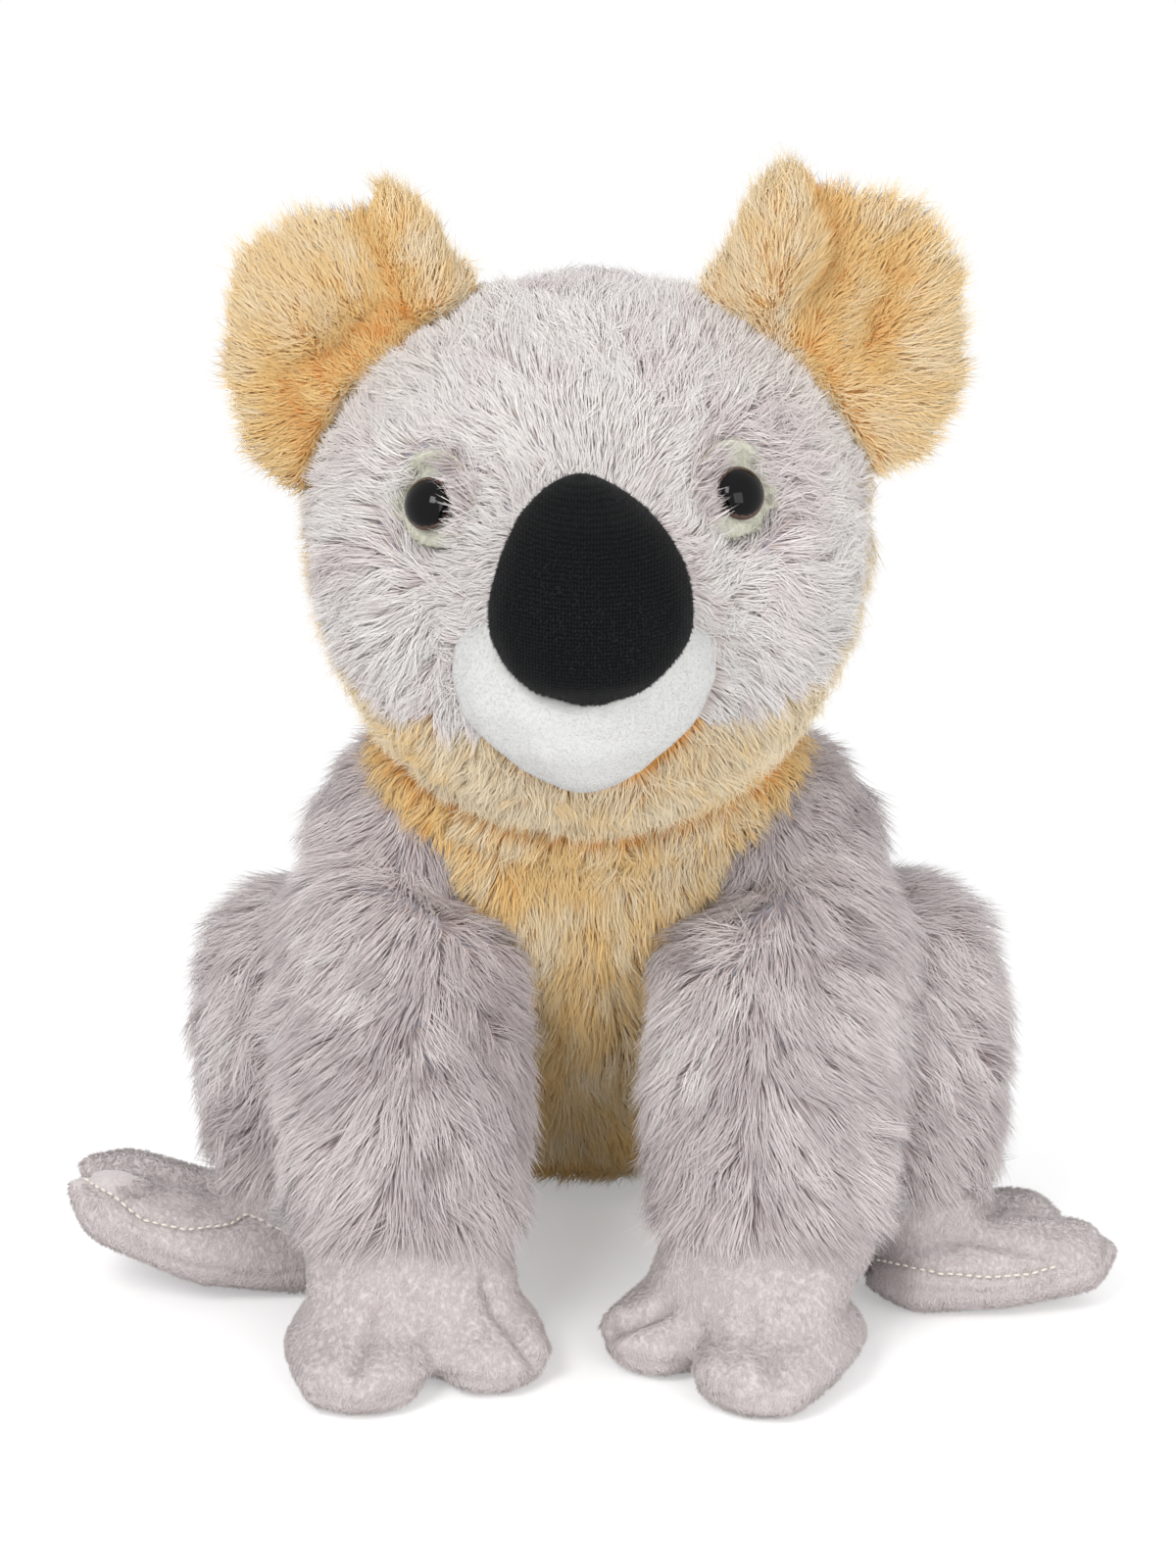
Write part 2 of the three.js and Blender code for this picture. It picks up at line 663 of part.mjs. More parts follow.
function padStation({ largeLobe, reachOut, heel, spread, halfWidth, halfThickness, toeLift }, lobe, share) {
  const { along, apart, wide, deep, lift } = share;
  const size = lobe === largeLobe ? 1 : smallLobeShare;
  return {
    at: new THREE.Vector3(lobe * spread * apart, along < 0 ? -heel * along : -reachOut * size * along,
      halfThickness * deep + toeLift * lift - restCut),
    wide: halfWidth * size * wide,
    deep: halfThickness * deep,
  };
}

function padForm(pad, inset, matrix, facets = padFacets) {
  const lobes = [-1, 1].map((lobe) => solidOf(stuffed({
    stations: padShares.map((share) => padStation(pad, lobe, share)),
    startCap: pad.heel, endCap: pad.halfWidth * toeCapShare, ...facets,
  }, inset), matrix));
  return lobes[0].add(lobes[1]);
}

// Everything under the pad's side seam, which rises with the toes
function underSeam(pad, drop, matrix) {
  const seam = padShares.map(({ along, lift }) => [
    along < 0 ? pad.heel * 2 : -pad.reachOut * along,
    pad.seamHeight + pad.toeLift * lift - drop,
  ]);
  const [toe, toeHeight] = [-pad.reachOut * 2, pad.seamHeight + pad.toeLift * 2 - drop];
  const outline = [[pad.heel * 2, -overrun], ...seam, [toe, toeHeight], [toe, -overrun]];
  return solidOf(slab(outline, -pad.reachOut, pad.reachOut), matrix);
}

// A solid cut clear of the obstacles that it passes as it swings
function clearOfAll(solid, obstacles, at, axis, degrees) {
  const turned = degrees.flatMap((angle) =>
    obstacles.map((obstacle) => turnSolid(obstacle, turnedAbout(at, axis, angle))));
  return subtractAll(solid, turned);
}

// One limb: a long-pile cover above the cuff, a short-pile pad below it in a top and a sole,
// and one filling that runs through both and out of the opening sewn to the body
function addLimb(group, names, limb, cut) {
  const { form, tubes, pivot, pole, radius, opening, inward, cuff, pad, padMatrix } = limb;
  const whole = (inset, facets) => tubes.reduce(
    (joined, tube) => joined.add(solidOf(stuffed({ ...tube, ...facets }, inset), form)),
    jointBall(pivot, radius - inset, pole, facets));
  const open = (clearance) => solidOf(rod(pivot,
    pivot.clone().addScaledVector(inward, radius * 2), opening - clearance, jointFacets.around));
  const above = solidOf(block(
    new THREE.Vector3(-reach, -reach, cuff), new THREE.Vector3(reach, reach, reach)));
  const below = solidOf(block(
    new THREE.Vector3(-reach, -reach, 0), new THREE.Vector3(reach, reach, cuff - seamGap)));
  const outer = whole(0);
  const inside = whole(longPile, limbCoreFacets).add(padForm(pad, shortPile, padMatrix, padCoreFacets));
  addPiece(group, names.cover, cut(outer.subtract(inside).subtract(open(0)).intersect(above)), grayPlush);
  const underCover = (tube) =>
    solidOf(stuffed({ ...tube, ...limbCoreFacets }, longPile - shortPile), form);
  const ankle = tubes.reduce(
    (joined, tube) => joined.add(underCover(tube)), padForm(pad, 0, padMatrix));
  const skin = cut(ankle.intersect(below).subtract(inside));
  addPiece(group, names.top, skin.subtract(underSeam(pad, 0, padMatrix)), pawPlush);
  addPiece(group, names.sole, skin.intersect(underSeam(pad, seamGap, padMatrix)), pawPlush);
  const filling = whole(longPile + seamGap, limbCoreFacets)
    .add(padForm(pad, shortPile + seamGap, padMatrix, padCoreFacets)).add(open(seamGap).intersect(outer));
  addPiece(group, names.filling, cut(filling), wadding);
}

// The body as the limbs meet it: a little larger, with its joint recesses open
const wallGapShare = 2;
const torsoWall = subtractAll(
  solidOf(stuffed(torsoForm, -turnGap * wallGapShare)), recesses(turnGap / 2));

// The shares of each swing at which a limb is cut clear of that wall
const armSwingShares = [0, 0.3, 0.65, 1];
const legSwingShares = [0, 0.22, 0.6, 1];

// The head as the arms meet it: only its round skull comes near them as it turns
const skullClearance = solidOf(skullGeometry(-turnGap, coreFacets), headTilt);

// An arm tapers into the shoulder ball at one end and into the wrist at the other
const armShares = [
  { down: -0.16, forward: 0, wide: 0.6, deep: 0.8 },
  { down: 0.1, forward: 0.22, wide: 0.84, deep: 0.92 },
  { down: 0.38, forward: 0.6, wide: 0.97, deep: 1 },
  { down: 0.65, forward: 0.85, wide: 1, deep: 0.96 },
  { down: 0.88, forward: 0.97, wide: 0.94, deep: 0.82 },
  { down: 1.2, forward: 1, wide: 0.84, deep: 0.7 },
];

function armTube(sign) {
  return {
    stations: armShares.map(({ down, forward, wide, deep }) => ({
      at: new THREE.Vector3(sign * shoulderOut, shoulderBack - armReach * forward,
        shoulderHeight - (shoulderHeight - wristHeight) * down),
      wide: armHalfWidth * wide,
      deep: armHalfDepth * deep,
    })),
    startCap: shoulderRadius, endCap: wristEdge, around: 10, along: 6,
  };
}

const armSolids = [];
for (const { side, sign, shoulder, pawTurn } of sides) {
  const pad = {
    largeLobe: sign, reachOut: pawReach, heel: pawHeel, spread: pawSpread,
    halfWidth: pawLobeHalfWidth, halfThickness: pawHalfThickness, toeLift: 0,
    seamHeight: pawSeamHeight,
  };
  const wrist = moved(sign * shoulderOut, shoulderBack - armReach, 0);
  const padMatrix = wrist.multiply(new THREE.Matrix4().makeRotationZ(-sign * toRadians(pawTurn)));
  const tube = armTube(sign);
  const angles = armSwingShares.map((share) => share * armSwingDegrees);
  armSolids.push(solidOf(stuffed(tube, -seamGap)).add(padForm(pad, -seamGap, padMatrix)));
  const names = {
    cover: `arm_sleeve_${side}`, top: `paw_top_${side}`, sole: `paw_sole_${side}`,
    filling: `arm_filling_${side}`,
  };
  addLimb(addPivot(koala, shoulder), names, {
    tubes: [tube], pivot: shoulder, pole: xAxis, radius: shoulderRadius, opening: armholeRadius,
    inward: xAxis.clone().multiplyScalar(-sign), cuff: hemHeight, pad, padMatrix,
  }, (solid) => clearOfAll(solid, [torsoWall], shoulder, xAxis, angles).subtract(skullClearance));
}

// A leg folds at the knee: the thigh rises forward from the hip and the shin drops to the ankle
const thighShares = [
  { along: -0.16, rise: -0.1, wide: 0.8, deep: 0.8 },
  { along: 0.3, rise: 0.34, wide: 0.97, deep: 1 },
  { along: 0.68, rise: 0.78, wide: 1, deep: 1.04 },
  { along: 1, rise: 1, wide: 0.98, deep: 1 },
  { along: 1.3, rise: 1.06, wide: 0.8, deep: 0.8 },
];
const shinShares = [
  { down: -0.3, wide: 0.8, deep: 0.8 },
  { down: 0.1, wide: 1.06, deep: 1.06 },
  { down: 0.45, wide: 1, deep: 1 },
  { down: 0.78, wide: 0.84, deep: 0.86 },
  { down: 1, wide: 0.7, deep: 0.7 },
];

function thighTube(sign) {
  return {
    stations: thighShares.map(({ along, rise, wide, deep }) => ({
      at: new THREE.Vector3(sign * (hipOut + (kneeOut - hipOut) * Math.min(1, Math.max(0, along))),
        hipBack - (hipBack - kneeBack) * along, hipHeight + (kneeHeight - hipHeight) * rise),
      wide: thighHalfWidth * wide,
      deep: thighHalfWidth * deep,
    })),
    startCap: kneeEdge, endCap: kneeEdge, around: 10, along: 6,
  };
}

function shinTube(sign, ankle) {
  return {
    stations: shinShares.map(({ down, wide, deep }) => ({
      at: new THREE.Vector3(sign * kneeOut, kneeBack - (kneeBack - ankle) * down, kneeHeight * (1 - down)),
      wide: shinHalfWidth * wide,
      deep: shinHalfWidth * deep,
    })),
    startCap: kneeEdge, endCap: wristEdge, around: 10, along: 6,
  };
}

for (const { side, sign, hip, footTurn, footShare, ankleShare, toeLiftShare, legSplay } of sides) {
  const ankle = ankleBack * ankleShare;
  const pad = {
    largeLobe: -sign, reachOut: footReach * footShare, heel: footHeel, spread: footSpread,
    halfWidth: footLobeHalfWidth, halfThickness: footHalfThickness, toeLift: footToeLift * toeLiftShare,
    seamHeight: footSeamHeight,
  };
  const splay = turnedAbout(hip, zAxis, sign * legSplay);
  const padMatrix = splay.clone().multiply(moved(sign * kneeOut, ankle, 0))
    .multiply(new THREE.Matrix4().makeRotationZ(sign * toRadians(footTurn)));
  const names = {
    cover: `leg_cover_${side}`, top: `foot_top_${side}`, sole: `foot_sole_${side}`,
    filling: `leg_filling_${side}`,
  };
  const angles = legSwingShares.map((share) => -sign * share * legSwingDegrees);
  addLimb(addPivot(koala, hip), names, {
    form: splay, tubes: [thighTube(sign), shinTube(sign, ankle)],
    pivot: hip, pole: zAxis, radius: hipRadius,
    opening: hipOpeningRadius, inward: xAxis.clone().multiplyScalar(-sign),
    cuff: cuffHeight, pad, padMatrix,
  }, (solid) => subtractAll(clearOfAll(solid, [torsoWall], hip, zAxis, angles), armSolids));
}

// Centre the toy over the origin, standing on the floor
const extent = new THREE.Box3().setFromObject(koala);
koala.position.set(-(extent.min.x + extent.max.x) / 2, -(extent.min.y + extent.max.y) / 2, 0);

export default koala;
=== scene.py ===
# A seated plush koala, made up in the order in which it is stuffed, sewn and furred.
# Blender units are metres, and sizes below are millimetres times MM.
import math
from functools import cached_property

import bmesh
import bpy
import numpy as np
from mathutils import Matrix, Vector
from mathutils.bvhtree import BVHTree
from mathutils.kdtree import KDTree


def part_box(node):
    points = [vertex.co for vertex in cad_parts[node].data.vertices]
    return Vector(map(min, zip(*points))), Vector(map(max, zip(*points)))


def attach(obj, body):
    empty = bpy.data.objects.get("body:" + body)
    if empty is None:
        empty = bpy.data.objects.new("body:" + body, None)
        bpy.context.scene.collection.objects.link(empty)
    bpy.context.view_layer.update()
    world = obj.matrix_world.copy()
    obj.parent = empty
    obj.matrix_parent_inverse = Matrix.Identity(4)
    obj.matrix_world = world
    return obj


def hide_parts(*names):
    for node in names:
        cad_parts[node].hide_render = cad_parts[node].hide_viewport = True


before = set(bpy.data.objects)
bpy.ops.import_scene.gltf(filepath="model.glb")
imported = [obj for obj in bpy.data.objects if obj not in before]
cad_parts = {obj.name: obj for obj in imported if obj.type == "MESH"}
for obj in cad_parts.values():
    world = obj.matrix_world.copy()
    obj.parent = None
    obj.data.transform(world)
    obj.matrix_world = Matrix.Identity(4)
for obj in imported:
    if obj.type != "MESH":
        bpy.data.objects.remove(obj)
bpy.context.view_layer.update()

MM = 0.001
SIDES = {"right": -1, "left": 1}

# Camera: a long lens a little above the toy, looking at the middle of it.
# It comes first, because folds and seams are placed where this camera sees them.
CAMERA_TARGET = Vector((-1.2, -37.4, 140)) * MM
CAMERA_DISTANCE = 1500 * MM
CAMERA_RISE = math.radians(20)
PIXEL_AT_TARGET = 0.23 * MM
PICTURE_WIDTH = 1200
PICTURE_HEIGHT = 1600
SENSOR = 36.0
FAR_CLIP = 50

toward_camera = Vector((0, -math.cos(CAMERA_RISE), math.sin(CAMERA_RISE)))
lens = bpy.data.cameras.new("studio_lens")
lens.sensor_width = SENSOR
lens.lens = SENSOR * CAMERA_DISTANCE / (PIXEL_AT_TARGET * PICTURE_HEIGHT)
lens.clip_end = FAR_CLIP
camera = bpy.data.objects.new("studio_camera", lens)
camera.location = CAMERA_TARGET + toward_camera * CAMERA_DISTANCE
camera.rotation_euler = toward_camera.to_track_quat("Z", "Y").to_euler()
bpy.context.scene.collection.objects.link(camera)
bpy.context.scene.camera = camera

# Stuffed bodies: polyester wadding in a knitted backing cloth, sewn from panels, turned and filled.
# Each of the eight bodies is stuffed by itself and then sewn to its neighbour, so each is one
# rounded skin that lies a pile's height under the outside of the toy.
SEAM_REACH = 10 * MM
SEAM_SHARE = 0.1
SEAM_PILE_SHARE = 0.55
THIN_SHARE = 0.3
SINK_STEPS = 3
RIB_PITCH = 1.2 * MM
RIB_HEIGHT = 0.3 * MM
RIB_DEPTH = 0.3
SMOOTH_HALF = 0.5
TINY = 1e-12
# For each kind of body: its skin's fineness, its rounds of smoothing, and its depth in the pile
SKINS = {"torso": (2.4 * MM, 26, 6 * MM), "head": (2.4 * MM, 26, 4 * MM), "ear": (1.6 * MM, 14, 3 * MM),
         "arm": (2.4 * MM, 26, 6 * MM), "leg": (2.4 * MM, 26, 6 * MM)}

body_nodes = {
    "torso": ["torso_filling", "torso_back_panel", "bib_panel"],
    "head": ["head_filling", "face_mask_panel", "nape_panel", "chin_panel", "muzzle_panel"],
}
for side in SIDES:
    body_nodes[f"ear_{side}"] = [f"ear_back_{side}", f"ear_front_{side}"]
    body_nodes[f"arm_{side}"] = [f"arm_filling_{side}", f"arm_sleeve_{side}"]
    body_nodes[f"leg_{side}"] = [f"leg_filling_{side}", f"leg_cover_{side}"]


def linear(hex_colour):
    """An sRGB hex colour as the linear RGBA that a shader takes."""
    shares = [int(hex_colour[i:i + 2], 16) / 255 for i in (1, 3, 5)]
    return [s / 12.92 if s <= 0.04045 else ((s + 0.055) / 1.055) ** 2.4 for s in shares] + [1.0]


def add_node(tree, kind, links=None, stops=(), **settings):
    """Adds a shader node with its settings, its inputs as values or as other nodes' outputs,
    and the places from 0 to 1 of a ramp's hex colours."""
    node = tree.nodes.new(kind)
    for name, value in settings.items():
        setattr(node, name, value)
    for name, value in (links or {}).items():
        if isinstance(value, bpy.types.NodeSocket):
            tree.links.new(value, node.inputs[name])
        else:
            node.inputs[name].default_value = value
    if stops:
        node.color_ramp.interpolation = "EASE"
    for number, (place, colour) in enumerate(stops):
        elements = node.color_ramp.elements
        element = elements[number] if number < len(elements) else elements.new(place)
        element.position = place
        element.color = linear(colour)
    return node


def new_material(name):
    material = bpy.data.materials.new(name)
    material.use_nodes = True
    material.node_tree.nodes.clear()
    return material, material.node_tree


def finish_material(material, kind, links):
    """Adds the node that makes the surface, and the output."""
    shader = add_node(material.node_tree, kind, links)
    add_node(material.node_tree, "ShaderNodeOutputMaterial", {"Surface": shader.outputs[0]})
    return material


def wave_scale(pitch):
    """The scale at which Blender's wave texture has one band in each pitch."""
    return math.pi / 10 / pitch


def ribbed(name, colour, pitch=RIB_PITCH, height=RIB_HEIGHT, roughness=0.95):
    """Knitted or spun polyester: dull, with a fine rib, which on the backing shows where the pile parts."""
    material, tree = new_material(name)
    place = add_node(tree, "ShaderNodeTexCoord").outputs["Object"]
    ribs = add_node(tree, "ShaderNodeTexWave", {"Vector": place, "Scale": wave_scale(pitch)})
    bump = add_node(tree, "ShaderNodeBump", {
        "Height": ribs.outputs["Fac"], "Strength": RIB_DEPTH, "Distance": height})
    return finish_material(material, "ShaderNodeBsdfPrincipled", {
        "Base Color": linear(colour), "Roughness": roughness, "Normal": bump.outputs["Normal"]})


gray_backing = ribbed("gray knitted polyester backing", "#b7b2bb")
cream_backing = ribbed("cream knitted polyester backing", "#dcb578")


def add_piece(name, mesh):
    piece = bpy.data.objects.new(name, mesh)
    bpy.context.scene.collection.objects.link(piece)
    return piece


def add_mesh(name, points, faces):
    mesh = bpy.data.meshes.new(name)
    mesh.from_pydata(points, [], faces)
    return add_piece(name, mesh)


def apply_modifiers(piece):
    """The piece's modifiers become its mesh."""
    bpy.context.view_layer.update()
    graph = bpy.context.evaluated_depsgraph_get()
    piece.data = bpy.data.meshes.new_from_object(piece.evaluated_get(graph))
    piece.modifiers.clear()


def add_modifier(piece, kind, **settings):
    modifier = piece.modifiers.new(kind.lower(), kind)
    for name, value in settings.items():
        setattr(modifier, name, value)
    return modifier


def joined(nodes):
    """The points and faces of some CAD nodes together."""
    points, faces = [], []
    for node in nodes:
        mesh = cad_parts[node].data
        faces += [[len(points) + i for i in face.vertices] for face in mesh.polygons]
        points += [vertex.co.copy() for vertex in mesh.vertices]
    return points, faces


def rounded(piece, step, rounding, swell=0):
    """Makes the piece one closed skin of small faces, smooths it and swells it."""
    add_modifier(piece, "REMESH", mode="VOXEL", voxel_size=step)
    add_modifier(piece, "SMOOTH", factor=SMOOTH_HALF, iterations=rounding)
    add_modifier(piece, "DISPLACE", strength=swell, mid_level=0)
    apply_modifiers(piece)
    return piece


def one_skin(name, nodes, step, rounding=0, swell=0):
    """The outer form of some CAD nodes as one skin."""
    return rounded(add_mesh(name, *joined(nodes)), step, rounding, swell)


def unit(vectors):
    return vectors / np.maximum(np.linalg.norm(vectors, axis=-1, keepdims=True), TINY)


class Cloth:
    """A mesh as arrays: points, their normals, and its triangles with their middles and areas."""

    def __init__(self, mesh):
        mesh.calc_loop_triangles()
        self.points = np.empty((len(mesh.vertices), 3))
        mesh.vertices.foreach_get("co", self.points.ravel())
        self.normals = np.empty((len(mesh.vertices), 3), np.float32)
        mesh.vertex_normals.foreach_get("vector", self.normals.ravel())
        self.corners = np.empty((len(mesh.loop_triangles), 3), np.int32)
        mesh.loop_triangles.foreach_get("vertices", self.corners.ravel())
        self.face_of = np.empty(len(mesh.loop_triangles), np.int32)
        mesh.loop_triangles.foreach_get("polygon_index", self.face_of)
        a, b, c = (self.points[self.corners[:, i]] for i in range(3))
        self.middles = (a + b + c) / 3
        self.areas = np.linalg.norm(np.cross(b - a, c - a), axis=1) / 2
        self.outward = unit(self.normals[self.corners].mean(1).astype(float))
        self.room = np.ones(len(self.points))

    @cached_property
    def tree(self):
        return BVHTree.FromPolygons(self.points.tolist(), self.corners.tolist())


def move(piece, shift):
    """Moves each of the piece's points."""
    points = Cloth(piece.data).points + shift
    piece.data.vertices.foreach_set("co", points.astype(np.float32).ravel())
    piece.data.update()


def sink(piece, depth, neighbours):
    """Moves the skin in, a little at a time: less where it is thin, so that it doesn't fold,
    and hardly at all where it is sewn to its neighbours."""
    cloth = Cloth(piece.data)
    starts = cloth.points - cloth.normals * THIN_SHARE * MM
    thick = [cloth.tree.ray_cast(start, -Vector(normal))[3] or 0
             for start, normal in zip(starts, cloth.normals)]
    gaps = np.array([neighbours.find_nearest(point)[3] for point in cloth.points])
    room = np.clip(gaps / SEAM_REACH, SEAM_SHARE, 1)
    depth = np.minimum(depth, np.array(thick) * THIN_SHARE) * room
    for _ in range(SINK_STEPS):
        move(piece, -Cloth(piece.data).normals * depth[:, None] / SINK_STEPS)
        add_modifier(piece, "SMOOTH", factor=SMOOTH_HALF, iterations=2)
        apply_modifiers(piece)
    return room


def give(piece, *materials):
    """The piece's materials, and smooth shading."""
    piece.data.materials.clear()
    for material in materials:
        piece.data.materials.append(material)
    piece.data.polygons.foreach_set("use_smooth", np.ones(len(piece.data.polygons), bool))


skins = {}
rooms = {}
for body, nodes in body_nodes.items():
    step, rounding, depth = SKINS[body.split("_")[0]]
    skin = one_skin(f"{body}_stuffed", nodes, step, rounding)
    others = [node for other, its_nodes in body_nodes.items() if other != body for node in its_nodes]
    rooms[body] = sink(skin, depth, BVHTree.FromPolygons(*joined(others)))
    skins[body] = skin
    give(skin, gray_backing, cream_backing)
    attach(skin, body)
    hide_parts(*[node for node in nodes if "filling" in node])

# Long pile: crimped polyester fibre, 6 to 14 mm long, knitted into the backing and brushed.
# It stands up at the root, lies over along the nap, and gathers into tufts at its tips.
# A strand here is as wide as a few fibres, because one fibre is too fine to show.
STRAND_WIDTH = 0.24 * MM
BACK_STRAND = 0.36 * MM
STRANDS_A_PIECE = 19500
UNDERFUR_SHARE = 0.4
LOCK_WIDTH = 16 * MM
TUFT_TURN = 0.26
LOCK_TURN = 0.22
KNEE_SHARE = 0.42
KNEE_TONE = 0.45
KNEE_WIDTH = 0.84
KNEE_PULL = 0.3
RISE_SPREAD = math.radians(7)
DROOP_SPREAD = math.radians(9)
MIDDLE_TONE = 0.5
TUFT_TONE = 0.1
STRAND_TONE = 0.08
TONE_SPREAD = 0.02
TONE_ENDS = (0.01, 0.99)
SIDE_SPREAD = 0.3
GATHER_SPREAD = 0.4
TIP_SLIDE = 0.5
FEWEST_TUFTS = 4
FLOOR_CLEARANCE = 0.3 * MM
# Shares of a length or a width: the least, and the most that chance adds
TUFT_LENGTHS = (0.85, 0.25)
UNDERFUR_LENGTHS = (0.6, 0.4)
TOP_LENGTHS = (0.8, 0.3)
STRAND_WIDTHS = (0.75, 0.5)
density_share = 1.0


def polyester_pile(name, tones, root, sheen=0.6, bloom="#ffffff"):
    """Polyester pile: silky fibres, pale at their tips and a little darker and warmer at the root, partly the
    fibres' own colour and partly painted shade between the strands.
    The map's first number is the strand's tone and its second runs from root to tip."""
    material, tree = new_material(name)
    across = add_node(tree, "ShaderNodeSeparateXYZ", {
        "Vector": add_node(tree, "ShaderNodeUVMap", uv_map="OFBake").outputs["UV"]})
    tone = add_node(tree, "ShaderNodeValToRGB", {"Fac": across.outputs["X"]}, tones)
    # Partly painted shade: the root colour darkens and warms each strand towards its root, where the strands
    # shade one another
    along = add_node(tree, "ShaderNodeValToRGB", {"Fac": across.outputs["Y"]},
                     [(0, root), (0.5, "#fbf9f9"), (1, "#ffffff")])
    colour = add_node(tree, "ShaderNodeMixRGB", {
        "Fac": 1.0, "Color1": tone.outputs["Color"], "Color2": along.outputs["Color"]}, blend_type="MULTIPLY")
    return finish_material(material, "ShaderNodeBsdfPrincipled", {
        "Base Color": colour.outputs["Color"], "Roughness": 0.55,
        "Sheen Weight": sheen, "Sheen Roughness": 0.5, "Sheen Tint": linear(bloom),
        "Specular IOR Level": 0.3})


def backing_of(body):
    """A body's backing cloth, with the share of its full length that the pile has room for."""
    cloth = Cloth(skins[body].data)
    cloth.room = SEAM_PILE_SHARE + (1 - SEAM_PILE_SHARE) * rooms[body]
    return cloth


def panel_of(cloth, panels):
    """For each triangle of the cloth, the number of the CAD panel that lies nearest."""
    trees = [Cloth(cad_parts[panel].data).tree for panel in panels]
    return np.array([
        np.argmin([tree.find_nearest(middle)[3] for tree in trees]) for middle in cloth.middles])


def show_cream(skin, cloth, cream):
    """The backing is cream under the cream panels."""
    number = np.zeros(len(skin.data.polygons), np.int32)
    number[cloth.face_of[cream]] = 1
    skin.data.polygons.foreach_set("material_index", number)


def strand_mesh(name, rings, tips, normals, tone, heights):
    """Closed three-sided strands: rings is (strands, rings, 3 corners, xyz), tips is (strands, xyz)."""
    count, levels = rings.shape[:2]
    each = levels * 3 + 1
    points = np.concatenate([rings.reshape(count, levels * 3, 3), tips[:, None]], axis=1)
    faces = [[2, 1, 0]]
    for level in range(levels - 1):
        for corner in range(3):
            low, ahead = level * 3 + corner, level * 3 + (corner + 1) % 3
            faces += [[low, ahead, ahead + 3], [low, ahead + 3, low + 3]]
    top = (levels - 1) * 3
    faces += [[top + corner, top + (corner + 1) % 3, each - 1] for corner in range(3)]
    faces = (np.array(faces)[None] + np.arange(count)[:, None, None] * each).reshape(-1, 3)
    spread = np.array([-1, 0, 1] * levels + [0]) * TONE_SPREAD
    across = np.clip(tone[:, None] + spread, *TONE_ENDS)
    along = np.repeat(heights, [3] * levels + [1])[None].repeat(count, 0)
    places = np.stack([across, along], -1).reshape(-1, 2)
    mesh = bpy.data.meshes.new(name)
    mesh.vertices.add(count * each)
    mesh.vertices.foreach_set("co", points.astype(np.float32).ravel())
    mesh.loops.add(faces.size)
    mesh.loops.foreach_set("vertex_index", faces.astype(np.int32).ravel())
    mesh.polygons.add(len(faces))
    mesh.polygons.foreach_set("loop_start", np.arange(0, faces.size, 3, dtype=np.int32))
    mesh.polygons.foreach_set("use_smooth", np.ones(len(faces), bool))
    mesh.uv_layers.new(name="OFBake").data.foreach_set(
        "uv", places[faces.ravel()].astype(np.float32).ravel())
    mesh.update(calc_edges=True)
    mesh.normals_split_custom_set_from_vertices(normals.reshape(-1, 3).astype(np.float32))
    return mesh


def nearest(points, centres):
    """The number of the nearest centre to each point."""
    tree = KDTree(len(centres))
    for number, centre in enumerate(centres):
        tree.insert(centre, number)
    tree.balance()
    return np.array([tree.find(point)[1] for point in points])


def by_chance(shares, chance):
    """The least share, and what a chance from 0 to 1 adds to it."""
    least, more = shares
    return least + more * chance


